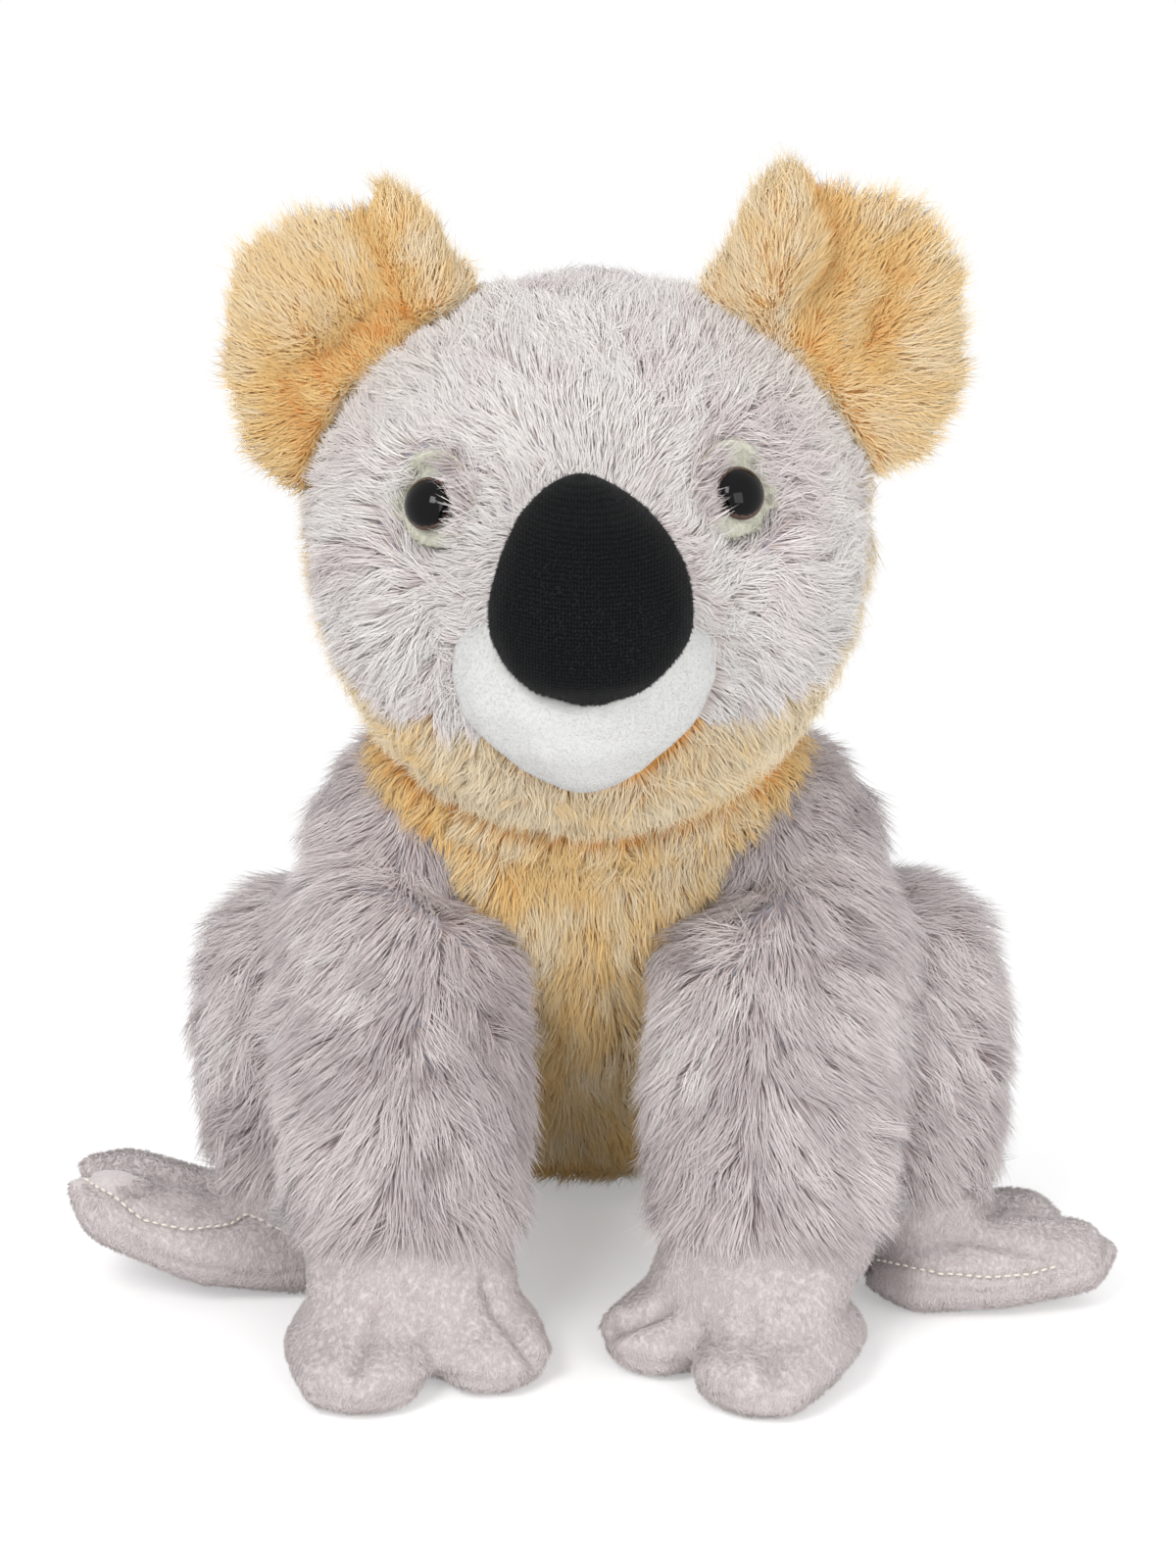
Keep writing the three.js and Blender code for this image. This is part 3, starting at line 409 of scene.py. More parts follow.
def grow_pile(name, cloth, chosen, comb, length, toned=None, seed=1, density=3.0, tuft=4 * MM,
              lean=(52, 18), gather=0.22, width=STRAND_WIDTH, stray=0.15, knee=True, bloom=0.85,
              facing=(0, -0.3, 0.3), ruffle=0.8, mottle=1.0):
    """Pile on the chosen triangles of a cloth. comb gives the nap's direction at points with normals,
    density is strands to a square millimetre, lean is the angle from the cloth at the root and at
    the tip in degrees, gather is how far a tuft's tips draw together, and tuft is a tuft's width.
    bloom is how far the light on a strand follows the cloth under it, as it does on dense pile,
    and facing turns that light to one side, as on thin pile that the light shines through.
    ruffle is how far the tufts turn from the nap, and mottle how far their tones differ."""
    random = np.random.default_rng(seed)
    triangles = np.flatnonzero(chosen)
    areas = cloth.areas[triangles]
    count = int(areas.sum() * density * density_share / MM ** 2)
    triangles = random.choice(triangles, count, p=areas / areas.sum())
    u, v = random.random((2, count, 1))
    u, v = np.where(u + v > 1, 1 - u, u), np.where(u + v > 1, 1 - v, v)
    corners = cloth.corners[triangles]
    shares = (1 - u - v, u, v)
    root = sum(share * cloth.points[corners[:, i]] for i, share in enumerate(shares))
    normal = unit(sum(share * cloth.normals[corners[:, i]] for i, share in enumerate(shares)))
    tufts = min(count, max(FEWEST_TUFTS, int(areas.sum() / tuft ** 2)))
    locks = min(count, max(FEWEST_TUFTS, int(areas.sum() / LOCK_WIDTH ** 2)))
    tuft_of = nearest(root, root[:tufts])
    lock_of = nearest(root[:tufts], root[:locks])[tuft_of]
    turn = TUFT_TURN * random.normal(0, 1, (tufts, 3))[tuft_of]
    turn = turn + LOCK_TURN * random.normal(0, 1, (locks, 3))[lock_of]
    nap = comb(root, normal) + turn * ruffle + random.normal(0, stray, (count, 3))
    nap = unit(nap - normal * (nap * normal).sum(1, keepdims=True))
    rank = random.random((count, 1))
    reach = length(root) if callable(length) else np.full(count, length)
    reach = reach.reshape(-1, 1) * cloth.room[corners].mean(1, keepdims=True)
    reach = reach * by_chance(TUFT_LENGTHS, random.random((tufts, 1))[tuft_of])
    reach = reach * np.where(
        rank < UNDERFUR_SHARE, by_chance(UNDERFUR_LENGTHS, rank), by_chance(TOP_LENGTHS, rank))
    rise = math.radians(lean[0]) + random.normal(0, RISE_SPREAD, (count, 1))
    droop = math.radians(lean[1]) + random.normal(0, DROOP_SPREAD, (count, 1))
    bend = root + KNEE_SHARE * reach * (normal * np.sin(rise) + nap * np.cos(rise))
    tip = bend + (1 - KNEE_SHARE) * reach * (normal * np.sin(droop) + nap * np.cos(droop))
    to_centre = (tip[tuft_of] - tip) + (reach - reach[tuft_of]) * nap * TIP_SLIDE
    pull = gather * (1 - GATHER_SPREAD * random.random((count, 1)))
    tip = tip + to_centre * pull
    bend = bend + to_centre * pull * KNEE_PULL
    for points in (root, bend, tip):
        points[:, 2] = np.maximum(points[:, 2], FLOOR_CLEARANCE)
    side = unit(np.cross(tip - root, normal + random.normal(0, SIDE_SPREAD, (count, 3))))
    over = unit(np.cross(tip - root, side))
    spin = random.random((count, 1, 1)) * math.tau + np.arange(3)[None, :, None] * math.tau / 3
    around = side[:, None] * np.cos(spin) + over[:, None] * np.sin(spin)
    wide = width * by_chance(STRAND_WIDTHS, random.random((count, 1, 1))) / math.sqrt(density_share)
    rings = [root[:, None] + around * wide / 2]
    heights = [0.0, 1.0]
    if knee:
        rings.append(bend[:, None] + around * wide * KNEE_WIDTH / 2)
        heights.insert(1, KNEE_TONE)
    rings = np.stack(rings, 1)
    shading = unit((1 - bloom) * around + bloom * unit(normal + facing)[:, None])
    shading = np.concatenate([shading] * rings.shape[1] + [shading[:, :1]], 1)
    tone = TUFT_TONE * random.normal(0, 1, tufts)[tuft_of]
    tone = tone + TUFT_TONE * random.normal(0, 1, locks)[lock_of]
    tone = MIDDLE_TONE + tone * mottle + STRAND_TONE * random.normal(0, 1, count)
    if toned:
        tone = tone + toned(root, normal)
    order = np.argsort(root[:, 0])
    parts = np.array_split(order, math.ceil(count / STRANDS_A_PIECE))
    return [add_piece(f"{name}_{number}" if len(parts) > 1 else name, strand_mesh(
        name, rings[part], tip[part], shading[part], tone[part], np.array(heights)))
        for number, part in enumerate(parts, 1)]


def dress(pieces, body, slot, nodes, *materials):
    """Pieces take their materials, ride on their body and stand for some CAD nodes. The slot is not used."""
    for piece in pieces:
        give(piece, *materials)
        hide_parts(*nodes)
        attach(piece, body)


GRAY_TONES = [(0.0, "#ab9d9e"), (0.3, "#d5c9ca"), (0.6, "#eee4e3"), (0.85, "#fcf7f5"), (1.0, "#fffcf8")]
CREAM_TONES = [(0.0, "#f2a650"), (0.45, "#ffd892"), (1.0, "#fff0d0")]
gray_pile = polyester_pile("gray polyester long pile", GRAY_TONES, "#ddd0cc", sheen=0.8)
cream_pile = polyester_pile("cream polyester long pile", CREAM_TONES, "#f6bf7c", sheen=0.8,
                            bloom="#ffdca6")

# Torso: a cream bib in front and a gray back panel round the rest, sewn at the sides.
# The nap runs down from the neck; on the bib it also falls outward over the arms' tops.
BODY_PILE = 13 * MM
BIB_PILE = 12 * MM
BIB_SPREAD = 30 * MM
# Painted shade in the crease under the chin: how far it reaches and how much deeper the tone is there
CREASE_REACH = 9 * MM
PAINTED_CREASE_SHADE = 0.2
BIB_TONE = 0.14

torso_cloth = backing_of("torso")
torso_panel = panel_of(torso_cloth, ["torso_back_panel", "bib_panel"])


def down_and_out(spread, back=0.0):
    """The nap falls, and spreads to the sides of the middle plane."""
    def comb(root, normal):
        out = spread * np.tanh(root[:, 0] / BIB_SPREAD)
        return np.stack([out, back + 0 * out, -1 + 0 * out], 1)
    return comb


def paler_bib_with_crease_shade(root, normal):
    """A little pale, with painted shade: deeper in tone where the bib lies in the crease under the chin."""
    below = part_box("bib_panel")[1].z - root[:, 2]
    return BIB_TONE - PAINTED_CREASE_SHADE * np.exp(-(below / CREASE_REACH) ** 2)


dress(grow_pile("torso_back_panel_pile", torso_cloth, torso_panel == 0,
                down_and_out(spread=0.25, back=0.2), BODY_PILE, density=1.0, width=BACK_STRAND),
      "torso", "gray_plush", ["torso_back_panel"], gray_pile)
dress(grow_pile("bib_panel_pile", torso_cloth, torso_panel == 1, down_and_out(spread=0.45),
                BIB_PILE, paler_bib_with_crease_shade, seed=2, density=2.8, tuft=3 * MM, facing=(0, -0.5, 0.6)),
      "torso", "cream_plush", ["bib_panel"], cream_pile)
show_cream(skins["torso"], torso_cloth, torso_panel == 1)

# Legs: gray long-pile covers over folded thighs and shins, open at the ankle.
# The nap runs outward and back from the shin, and down towards the ankle.
LEG_PILE = 13 * MM
LEG_NAP = (0.5, 0.2, -0.7)
FROM_THIGH = 0.6
THIGH_FULLER = 6 * MM
THIGH_HEIGHT = 42 * MM
THIGH_ROUND = 15 * MM
THIGH_FROM = 48 * MM
THIGH_BLEND = 20 * MM


def middle_of(node):
    low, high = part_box(node)
    return np.array((low + high) / 2)


def steady(way, sign=1, centre=0, share=0):
    """A nap that runs one way, mirrored for the right side, and to a share away from a centre."""
    def comb(root, normal):
        return unit(root - centre) * share + np.multiply(way, (sign, 1, 1))
    return comb


def fuller_thigh(side):
    """Lets the back of a thigh sag on the body's side, so that no pocket shows under it."""
    points = Cloth(skins[f"leg_{side}"].data).points
    back = np.clip((points[:, 1] - THIGH_FROM) / THIGH_BLEND, 0, 1)
    under = np.clip((THIGH_HEIGHT - points[:, 2]) / THIGH_ROUND, 0, 1)
    move(skins[f"leg_{side}"], (-THIGH_FULLER * back * under)[:, None] * (0, 0, 1))


for side, sign in SIDES.items():
    fuller_thigh(side)
    cloth = backing_of(f"leg_{side}")
    panel = panel_of(cloth, [f"leg_cover_{side}", f"foot_top_{side}", f"foot_sole_{side}"])
    comb = steady(LEG_NAP, sign, middle_of(f"leg_cover_{side}"), FROM_THIGH)
    dress(grow_pile(f"leg_cover_{side}_pile", cloth, panel == 0, comb, LEG_PILE, seed=10 + sign,
                    density=2.0),
          f"leg_{side}", "gray_plush", [f"leg_cover_{side}"], gray_pile)

# Arms: gray long-pile sleeves from the shoulder to a loose hem over the paw.
# The nap parts along the front of the arm: the outer half is combed out, the inner half down.
ARM_PILE = 14 * MM
PARTING_WIDTH = 4 * MM
HEM_SHARE = 0.2
HEM_REACH = 12 * MM
# Painted shade on the arms: the height above which the left arm darkens, and how much darker the pile is
PAINTED_SHADE_FROM = 88 * MM
PAINTED_SHADE_TONE = 0.15
COMBED_OUT = 1.25
COMBED_IN = 0.35
COMBED_BACK = 0.1
SHOULDER_FULLER = {"right": 3 * MM, "left": 7 * MM}
SHOULDER_DROP = 70 * MM
SHOULDER_BLEND = 30 * MM


def outer_share(side, sign, root):
    """From 0 on the inner half of an arm to 1 on its outer half."""
    middle = middle_of(f"arm_sleeve_{side}")[0]
    return 1 / (1 + np.exp(-sign * (root[:, 0] - middle) / PARTING_WIDTH))


def parted(side, sign):
    """Out and down on the outer half of the arm, down and a little in on the inner half."""
    def comb(root, normal):
        outer = outer_share(side, sign, root)
        across = sign * (COMBED_OUT * outer - COMBED_IN)
        return np.stack([across, COMBED_BACK * outer, -1 + 0 * outer], 1)
    return comb


def longer_at_hem(hem, length):
    """The pile's length, and more of it low down, where it hangs over the hem."""
    def lengths(root):
        return length * (1 + HEM_SHARE * np.exp(-np.maximum(root[:, 2] - hem, 0) / HEM_REACH))
    return lengths


def painted_shade_half(side, sign):
    """Painted shade: darker where the nap stands against the light, inside on the right arm and high on the
    left arm.
    """
    def toned(root, normal):
        if side == "right":
            return -PAINTED_SHADE_TONE * (1 - outer_share(side, sign, root))
        return -PAINTED_SHADE_TONE * np.clip((root[:, 2] - PAINTED_SHADE_FROM) / HEM_REACH, 0, 1)
    return toned


def fuller_shoulder(side, sign):
    """Moves the outer side of an arm's stuffed top outward, where the filling gathers."""
    low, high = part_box(f"arm_sleeve_{side}")
    points = Cloth(skins[f"arm_{side}"].data).points
    inner = low.x if sign > 0 else high.x
    outer = np.clip(sign * (points[:, 0] - inner) / (high.x - low.x), 0, 1)
    share = np.clip((points[:, 2] - high.z + SHOULDER_DROP) / SHOULDER_BLEND, 0, 1) * outer
    move(skins[f"arm_{side}"], (SHOULDER_FULLER[side] * sign * share)[:, None] * (1, 0, 0))


for side, sign in SIDES.items():
    fuller_shoulder(side, sign)
    cloth = backing_of(f"arm_{side}")
    panel = panel_of(cloth, [f"arm_sleeve_{side}", f"paw_top_{side}", f"paw_sole_{side}"])
    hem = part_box(f"arm_sleeve_{side}")[0].z
    dress(grow_pile(f"arm_sleeve_{side}_pile", cloth, panel == 0, parted(side, sign),
                    longer_at_hem(hem, ARM_PILE), painted_shade_half(side, sign), seed=20 + sign, density=2.8),
          f"arm_{side}", "gray_plush", [f"arm_sleeve_{side}"], gray_pile)

# Paws and feet: short velvety pile, a top and a sole sewn together round the rim and stuffed.
# Needle stitches pulled through the stuffing draw the toes apart, and the rim seam is drawn in.
PAD_STEP = 1.6 * MM
PAD_ROUNDING = 12
PAD_SWELL = 0.8 * MM
PAW_BRIDGE_SHARE = 0.4
FOOT_STRETCH = 0.07
FRONT_TOE_LIFT = {"right": 0.1, "left": 0.03}
BACK_TOE_STRETCH = {"right": 0.09, "left": 0.0}
TOE_BLEND = 10 * MM
HEM_OVERLAP = 5 * MM
PLAN_MARGIN = 2 * MM
TRACE_STEPS = 6
FOLD_DEPTH = {"paw": 3.2 * MM, "foot": 1.8 * MM}
FOLD_WIDTH = 2.6 * MM
SEAM_DEPTH = 0.9 * MM
SEAM_WIDTH = 1.3 * MM
SEWN_REACH = 2 * MM
STUFFING_PRESSURE = 6
STUFFING_MASS = 0.001
STUFFING_STEPS = 20
STUFFING_LIMIT = 2.5 * MM
PAD_PILE = 1.8 * MM
PAD_FIBRE = 0.28 * MM
PAD_NAP = (0.15, -0.7, -0.4)
PAD_TONES = [(0.0, "#dad0d0"), (0.5, "#e8dfde"), (1.0, "#f6efec")]
PAD_GRAIN = 1.2 * MM
STITCH_LENGTH = 1.7 * MM
STITCH_PITCH = 2.3 * MM
STITCH_RADIUS = 0.32 * MM
STITCH_SIDES = 8
STITCH_SHIFT = np.array([0, -1.28, 0.64]) * MM
TWIST_HEIGHT = 0.08 * MM
# Rings along a stitch: their place on its length, and their share of its radius
STITCH_RINGS = ((0, 0.4), (0.25, 1), (0.75, 1), (1, 0.4))
# Folds and stitched seams, in pixels of the photograph
PAD_FOLDS = {
    "paw_right": [[(389, 1336), (376, 1364), (363, 1392)],
                  [(498, 1306), (506, 1333), (522, 1353), (550, 1390)]],
    "paw_left": [[(765, 1346), (770, 1362), (786, 1388), (795, 1413)],
                 [(675, 1335), (638, 1350), (600, 1365)]],
    "foot_right": [[(132, 1214), (165, 1207), (199, 1203)], [(218, 1163), (265, 1158)]],
    "foot_left": [[(970, 1260), (1020, 1268), (1075, 1278)]],
}
PAD_SEAMS = {
    "foot_right": [(80, 1200), (115, 1220), (145, 1245), (190, 1255), (235, 1250), (252, 1238),
                   (300, 1262)],
    "foot_left": [(860, 1275), (900, 1287), (960, 1300), (1010, 1303), (1050, 1300), (1085, 1290)],
}


def brushed_cloth(name, dark, pale, grain, roughness, sheen):
    """Brushed knit: matt, with a faint grain of darker and paler fibre and a soft bloom at its edge."""
    material, tree = new_material(name)
    place = add_node(tree, "ShaderNodeTexCoord").outputs["Object"]
    noise = add_node(tree, "ShaderNodeTexNoise", {"Vector": place, "Scale": 1 / grain, "Detail": 4.0})
    bump = add_node(tree, "ShaderNodeBump", {
        "Height": noise.outputs["Fac"], "Strength": 0.2, "Distance": grain / 12})
    shade = add_node(tree, "ShaderNodeValToRGB", {"Fac": noise.outputs["Fac"]}, [(0.3, dark), (0.7, pale)])
    return finish_material(material, "ShaderNodeBsdfPrincipled", {
        "Base Color": shade.outputs["Color"], "Roughness": roughness, "Normal": bump.outputs["Normal"],
        "Sheen Weight": sheen, "Sheen Roughness": 0.6, "Specular IOR Level": 0.2})


pad_pile = polyester_pile("pinkish gray short pile", PAD_TONES, "#e2dada")
pad_backing = brushed_cloth("pinkish gray velour", "#cdc4c4", "#dcd4d3", PAD_GRAIN,
                            roughness=0.9, sheen=0.4)
thread = ribbed("pale sewing thread", "#eee6da", STITCH_RADIUS, TWIST_HEIGHT, roughness=0.7)


def sight(pixel):
    """The camera's line of sight through a pixel of the picture."""
    across = (pixel[0] - PICTURE_WIDTH / 2) * PIXEL_AT_TARGET
    up = (PICTURE_HEIGHT / 2 - pixel[1]) * PIXEL_AT_TARGET
    turn = camera.rotation_euler.to_matrix()
    return (turn @ Vector((across, up, -CAMERA_DISTANCE))).normalized()


def pixels_of(points):
    """Where the camera sees points, in pixels of the picture."""
    turn = np.array(camera.rotation_euler.to_matrix())
    x, y, z = ((points - np.array(camera.location)) @ turn).T
    scale = CAMERA_DISTANCE / PIXEL_AT_TARGET / -z
    return np.stack([PICTURE_WIDTH / 2 + x * scale, PICTURE_HEIGHT / 2 - y * scale], 1)


def traced(cloth, pixels):
    """The line on a cloth that the camera sees through these pixels."""
    ends = np.array(pixels, float)
    steps = np.linspace(0, len(ends) - 1, (len(ends) - 1) * TRACE_STEPS + 1)
    fine = np.stack([np.interp(steps, np.arange(len(ends)), ends[:, i]) for i in (0, 1)], 1)
    hits = [cloth.tree.ray_cast(camera.location, sight(pixel))[0] for pixel in fine]
    return np.array([hit for hit in hits if hit is not None])


def off_line(points, line):
    """How far each point lies from a line through some places, and the way to it from the line."""
    far = np.full(len(points), np.inf)
    way = np.zeros_like(points)
    for start, end in zip(line[:-1], line[1:]):
        along = end - start
        share = np.clip(((points - start) @ along) / max(along @ along, TINY), 0, 1)
        gap = points - (start + share[:, None] * along)
        nearer = np.linalg.norm(gap, axis=1) < far
        far[nearer] = np.linalg.norm(gap[nearer], axis=1)
        way[nearer] = gap[nearer]
    return far, way


def draw_in(piece, far, depth, width):
    """Draws a cover in near a fold or a seam, where far is each point's distance from it."""
    move(piece, -Cloth(piece.data).normals * (depth * np.exp(-(far / width) ** 2))[:, None])


def cut_off(piece, point, outward):
    """Cuts away what lies outward of a plane, and closes the cut."""
    form = bmesh.new()
    form.from_mesh(piece.data)
    whole = form.verts[:] + form.edges[:] + form.faces[:]
    cut = bmesh.ops.bisect_plane(form, geom=whole, plane_co=point, plane_no=outward, clear_outer=True)
    edges = [part for part in cut["geom_cut"] if isinstance(part, bmesh.types.BMEdge)]
    bmesh.ops.triangulate(form, faces=bmesh.ops.holes_fill(form, edges=edges)["faces"])
    form.to_mesh(piece.data)
    form.free()


def make_convex(form):
    """Leaves only the convex form round a loose form's points."""
    inner = bmesh.ops.convex_hull(form, input=form.verts)["geom_interior"]
    bmesh.ops.delete(form, geom=inner, context="VERTS")


def bridge(piece, height):
    """Adds the convex form over the piece's points above a height, so that no neck is left there."""
    form = bmesh.new()
    for point in Cloth(piece.data).points:
        if point[2] > height:
            form.verts.new(point)
    make_convex(form)
    form.from_mesh(piece.data)
    form.to_mesh(piece.data)
    form.free()


def ring_faces(rings, sides, first=0):
    """The faces between rings of points, numbered from a first one."""
    faces = []
    for low in range(first, first + (rings - 1) * sides, sides):
        for step in range(sides):
            near, ahead = low + step, low + (step + 1) % sides
            faces.append([near, near + sides, ahead + sides, ahead])
    return faces


def sewn_line(name, line, cloth):
    """Short stitches of thread along a line on a cloth."""
    gaps = np.linalg.norm(np.diff(line, axis=0), axis=1)
    along = np.concatenate([[0], np.cumsum(gaps)])
    turns = math.tau * np.arange(STITCH_SIDES)[:, None] / STITCH_SIDES
    points, faces = [], []
    for start in np.arange(0, along[-1] - STITCH_LENGTH, STITCH_PITCH):
        near, far = (np.array([np.interp(start + shift, along, line[:, i]) for i in range(3)])
                     for shift in (0, STITCH_LENGTH))
        side = unit(np.cross(far - near, cloth.tree.find_nearest(near)[1]))
        over = np.cross(side, unit(far - near))
        spokes = side * np.cos(turns) + over * np.sin(turns)
        faces += [face[::-1] for face in ring_faces(len(STITCH_RINGS), STITCH_SIDES, len(points))]
        faces.append([len(points) + step for step in reversed(range(STITCH_SIDES))])
        for place, share in STITCH_RINGS:
            points.extend(near + (far - near) * place + STITCH_RADIUS * share * (over + spokes))
        faces.append([len(points) - STITCH_SIDES + step for step in range(STITCH_SIDES)])
    return add_mesh(name, points, faces)


def stuff(piece, sewn):
    """The filling presses the cover out between its sewn lines: a short cloth simulation."""
    start = Cloth(piece.data).points
    piece.vertex_groups.new(name="sewn").add(np.flatnonzero(sewn).tolist(), 1.0, "REPLACE")
    cover = add_modifier(piece, "CLOTH").settings
    cover.use_pressure = True
    cover.uniform_pressure_force = STUFFING_PRESSURE
    cover.effector_weights.gravity = 0
    cover.mass = STUFFING_MASS
    cover.vertex_group_mass = "sewn"
    for step in range(1, STUFFING_STEPS + 1):
        bpy.context.scene.frame_set(step)
    apply_modifiers(piece)
    bpy.context.scene.frame_set(1)
    shift = Cloth(piece.data).points - start
    far = np.linalg.norm(shift, axis=1, keepdims=True)
    move(piece, shift * (np.minimum(far, STUFFING_LIMIT) / np.maximum(far, TINY) - 1))


for limb, pad, hem in (("arm", "paw", "arm_sleeve"), ("leg", "foot", "leg_cover")):
    for side, sign in SIDES.items():
        nodes = [f"{pad}_top_{side}", f"{pad}_sole_{side}"]
        cover = one_skin(f"{pad}_cover_{side}", nodes + [f"{limb}_filling_{side}"], PAD_STEP)
        low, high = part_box(nodes[0])
        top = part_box(f"{hem}_{side}")[0].z + HEM_OVERLAP
        margin = Vector((1, 1, 0)) * PLAN_MARGIN
        cut_off(cover, (0, 0, top), (0, 0, 1))
        for point, way in ((low - margin, -1), (high + margin, 1)):
            cut_off(cover, point, (way, 0, 0))
            cut_off(cover, point, (0, way, 0))
        if pad == "paw":
            bridge(cover, low.z + (high.z - low.z) * PAW_BRIDGE_SHARE)
        rounded(cover, PAD_STEP, PAD_ROUNDING, PAD_SWELL)
        cloth = Cloth(cover.data)
        if pad == "foot":
            out = np.maximum(sign * (cloth.points[:, 0] - middle_of(f"leg_filling_{side}")[0]), 0)
            front = np.clip((middle_of(nodes[0])[1] - cloth.points[:, 1]) / TOE_BLEND + 0.5, 0, 1)
            longer = FOOT_STRETCH + BACK_TOE_STRETCH[side] * (1 - front)
            move(cover, np.stack([sign * longer * out, 0 * out, FRONT_TOE_LIFT[side] * out * front], 1))
            cloth = Cloth(cover.data)
        panel = panel_of(cloth, nodes)
        rim = np.intersect1d(cloth.corners[panel == 0], cloth.corners[panel == 1])
        far_from_rim = np.linalg.norm(
            cloth.points - cloth.points[rim][nearest(cloth.points, cloth.points[rim])], axis=1)
        held = far_from_rim < SEWN_REACH
        draw_in(cover, far_from_rim, SEAM_DEPTH, SEAM_WIDTH)
        for fold in PAD_FOLDS[f"{pad}_{side}"]:
            far, _ = off_line(cloth.points, traced(cloth, fold))
            draw_in(cover, far, FOLD_DEPTH[pad], FOLD_WIDTH)
            held |= far < SEWN_REACH
        if pad == "foot":
            far, _ = off_line(cloth.points, traced(cloth, PAD_SEAMS[f"foot_{side}"]))
            draw_in(cover, far, SEAM_DEPTH, SEAM_WIDTH)
            held |= far < SEWN_REACH
        stuff(cover, held)
        move(cover, np.maximum(FLOOR_CLEARANCE - Cloth(cover.data).points[:, 2:], 0) * (0, 0, 1))
        dress([cover], f"{limb}_{side}", "paw_plush", nodes, pad_backing)
        cloth = Cloth(cover.data)
        if pad == "foot":
            seam = traced(cloth, PAD_SEAMS[f"foot_{side}"])
            stitches = sewn_line(f"foot_stitches_{side}", seam, cloth)
            move(stitches, STITCH_SHIFT)
            dress([stitches], f"leg_{side}", "paw_plush", nodes, thread)
        below = cloth.middles[:, 2] < top - HEM_OVERLAP / 2
        dress(grow_pile(f"{pad}_pile_{side}", cloth, below, steady(PAD_NAP, sign), PAD_PILE,
                        seed=50 + sign, density=3.6, tuft=1.6 * MM, lean=(40, 20), gather=0.1,
                        width=PAD_FIBRE, stray=0.3, knee=False, bloom=0.95, facing=(0, -0.4, 0.5),
                        ruffle=0.5, mottle=0.3),
              f"{limb}_{side}", "paw_plush", nodes, pad_pile)

# Head: gray mask and nape with a cream chin panel between them, round one stuffed ball.
# The nap runs away from the nose, short on the face, longer on the crown and longest on the cheeks.
FACE_PILE = 6 * MM
CROWN_PILE = 9 * MM
CHEEK_PILE = 12 * MM
CHIN_PILE = 12 * MM
FACE_REACH = 26 * MM
FACE_BLEND = 30 * MM
PATCH_SIDES = {"out": 10.8 * MM, "up": 13 * MM, "in": 11 * MM, "down": 9.8 * MM}
OVER_PATCH = 7.6 * MM
OVER_PATCH_REACH = 15 * MM
OVER_PATCH_PILE = 9.5 * MM
OVER_PATCH_SLANT = 0.45
PALER = 0.4
PALER_TO = 40 * MM
PALER_BLEND = 60 * MM
NAP_FALL = np.array([0, 0, -0.15])
BACK_NAP_FALL = np.array([0, 0, -0.7])
MUZZLE_TOP_ROW = 655
EYE_BASE_SHARE = 0.98
HEAD_PANELS = ["face_mask_panel", "nape_panel", "chin_panel", "muzzle_panel", "nose_pad",
               "eye_patch_right", "eye_patch_left"]

head_cloth = backing_of("head")
head_panel = panel_of(head_cloth, HEAD_PANELS)
nose_middle = middle_of("nose_pad")


def round_axis(points, foot, axis):
    """How far points lie along an axis from its foot, and how far beside it."""
    heights = (points - foot) @ axis
    return heights, np.linalg.norm(points - foot - heights[:, None] * axis, axis=1)


def eye_frame(side, sign):
    """The middle of an eye's base, and the ways outward from the head, to its outer side and up."""
    cad = Cloth(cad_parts[f"eye_{side}"].data)
    shank_end = Cloth(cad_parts[f"eye_washer_{side}"].data).points.mean(0)
    axis = unit(cad.points.mean(0) - shank_end)
    out = unit(np.cross((0, 0, sign), axis))
    heights, radii = round_axis(cad.points, shank_end, axis)
    base = heights[radii > radii.max() * EYE_BASE_SHARE].min()
    return shank_end + base * axis, axis, out, np.cross(axis, out) * sign


def patch_share(side, sign, points):
    """How far points lie from an eye's middle, as a share of the way to its patch's edge."""
    middle, _, out, up = eye_frame(side, sign)
    across, above = (points - middle) @ out, (points - middle) @ up
    wide = np.where(across > 0, PATCH_SIDES["out"], PATCH_SIDES["in"])
    high = np.where(above > 0, PATCH_SIDES["up"], PATCH_SIDES["down"])
    return np.hypot(across / wide, above / high)


def beside_patch(side, sign, points):
    """Whether points lie just on the nose's side of an eye, where the face pile covers its patch."""
    middle, _, out, up = eye_frame(side, sign)
    inward = -(points - middle) @ unit(out - OVER_PATCH_SLANT * up)
    return (inward > OVER_PATCH) & (np.linalg.norm(points - middle, axis=1) < OVER_PATCH_REACH)


def on_panel(*names):
    """Which of the head's triangles lie on these panels."""
    return np.isin(head_panel, [HEAD_PANELS.index(name) for name in names])


masked = on_panel("muzzle_panel") & (pixels_of(head_cloth.middles)[:, 1] < MUZZLE_TOP_ROW)
masked |= on_panel("face_mask_panel", "eye_patch_right", "eye_patch_left")
for side, sign in SIDES.items():
    masked &= ((patch_share(side, sign, head_cloth.middles) > 1)
               | beside_patch(side, sign, head_cloth.middles))


def from_nose(root, normal):
    """Away from the nose, and falling a little at the sides and back."""
    fall = np.clip(root[:, 1:2] / CROWN_PILE, 0, 1)
    return unit(root - nose_middle) + NAP_FALL + fall * BACK_NAP_FALL


def paler(root, normal):
    """The face is brushed up, and paler than the body; at the nape the two are alike."""
    return PALER * np.clip((PALER_TO - root[:, 1]) / PALER_BLEND, 0, 1)


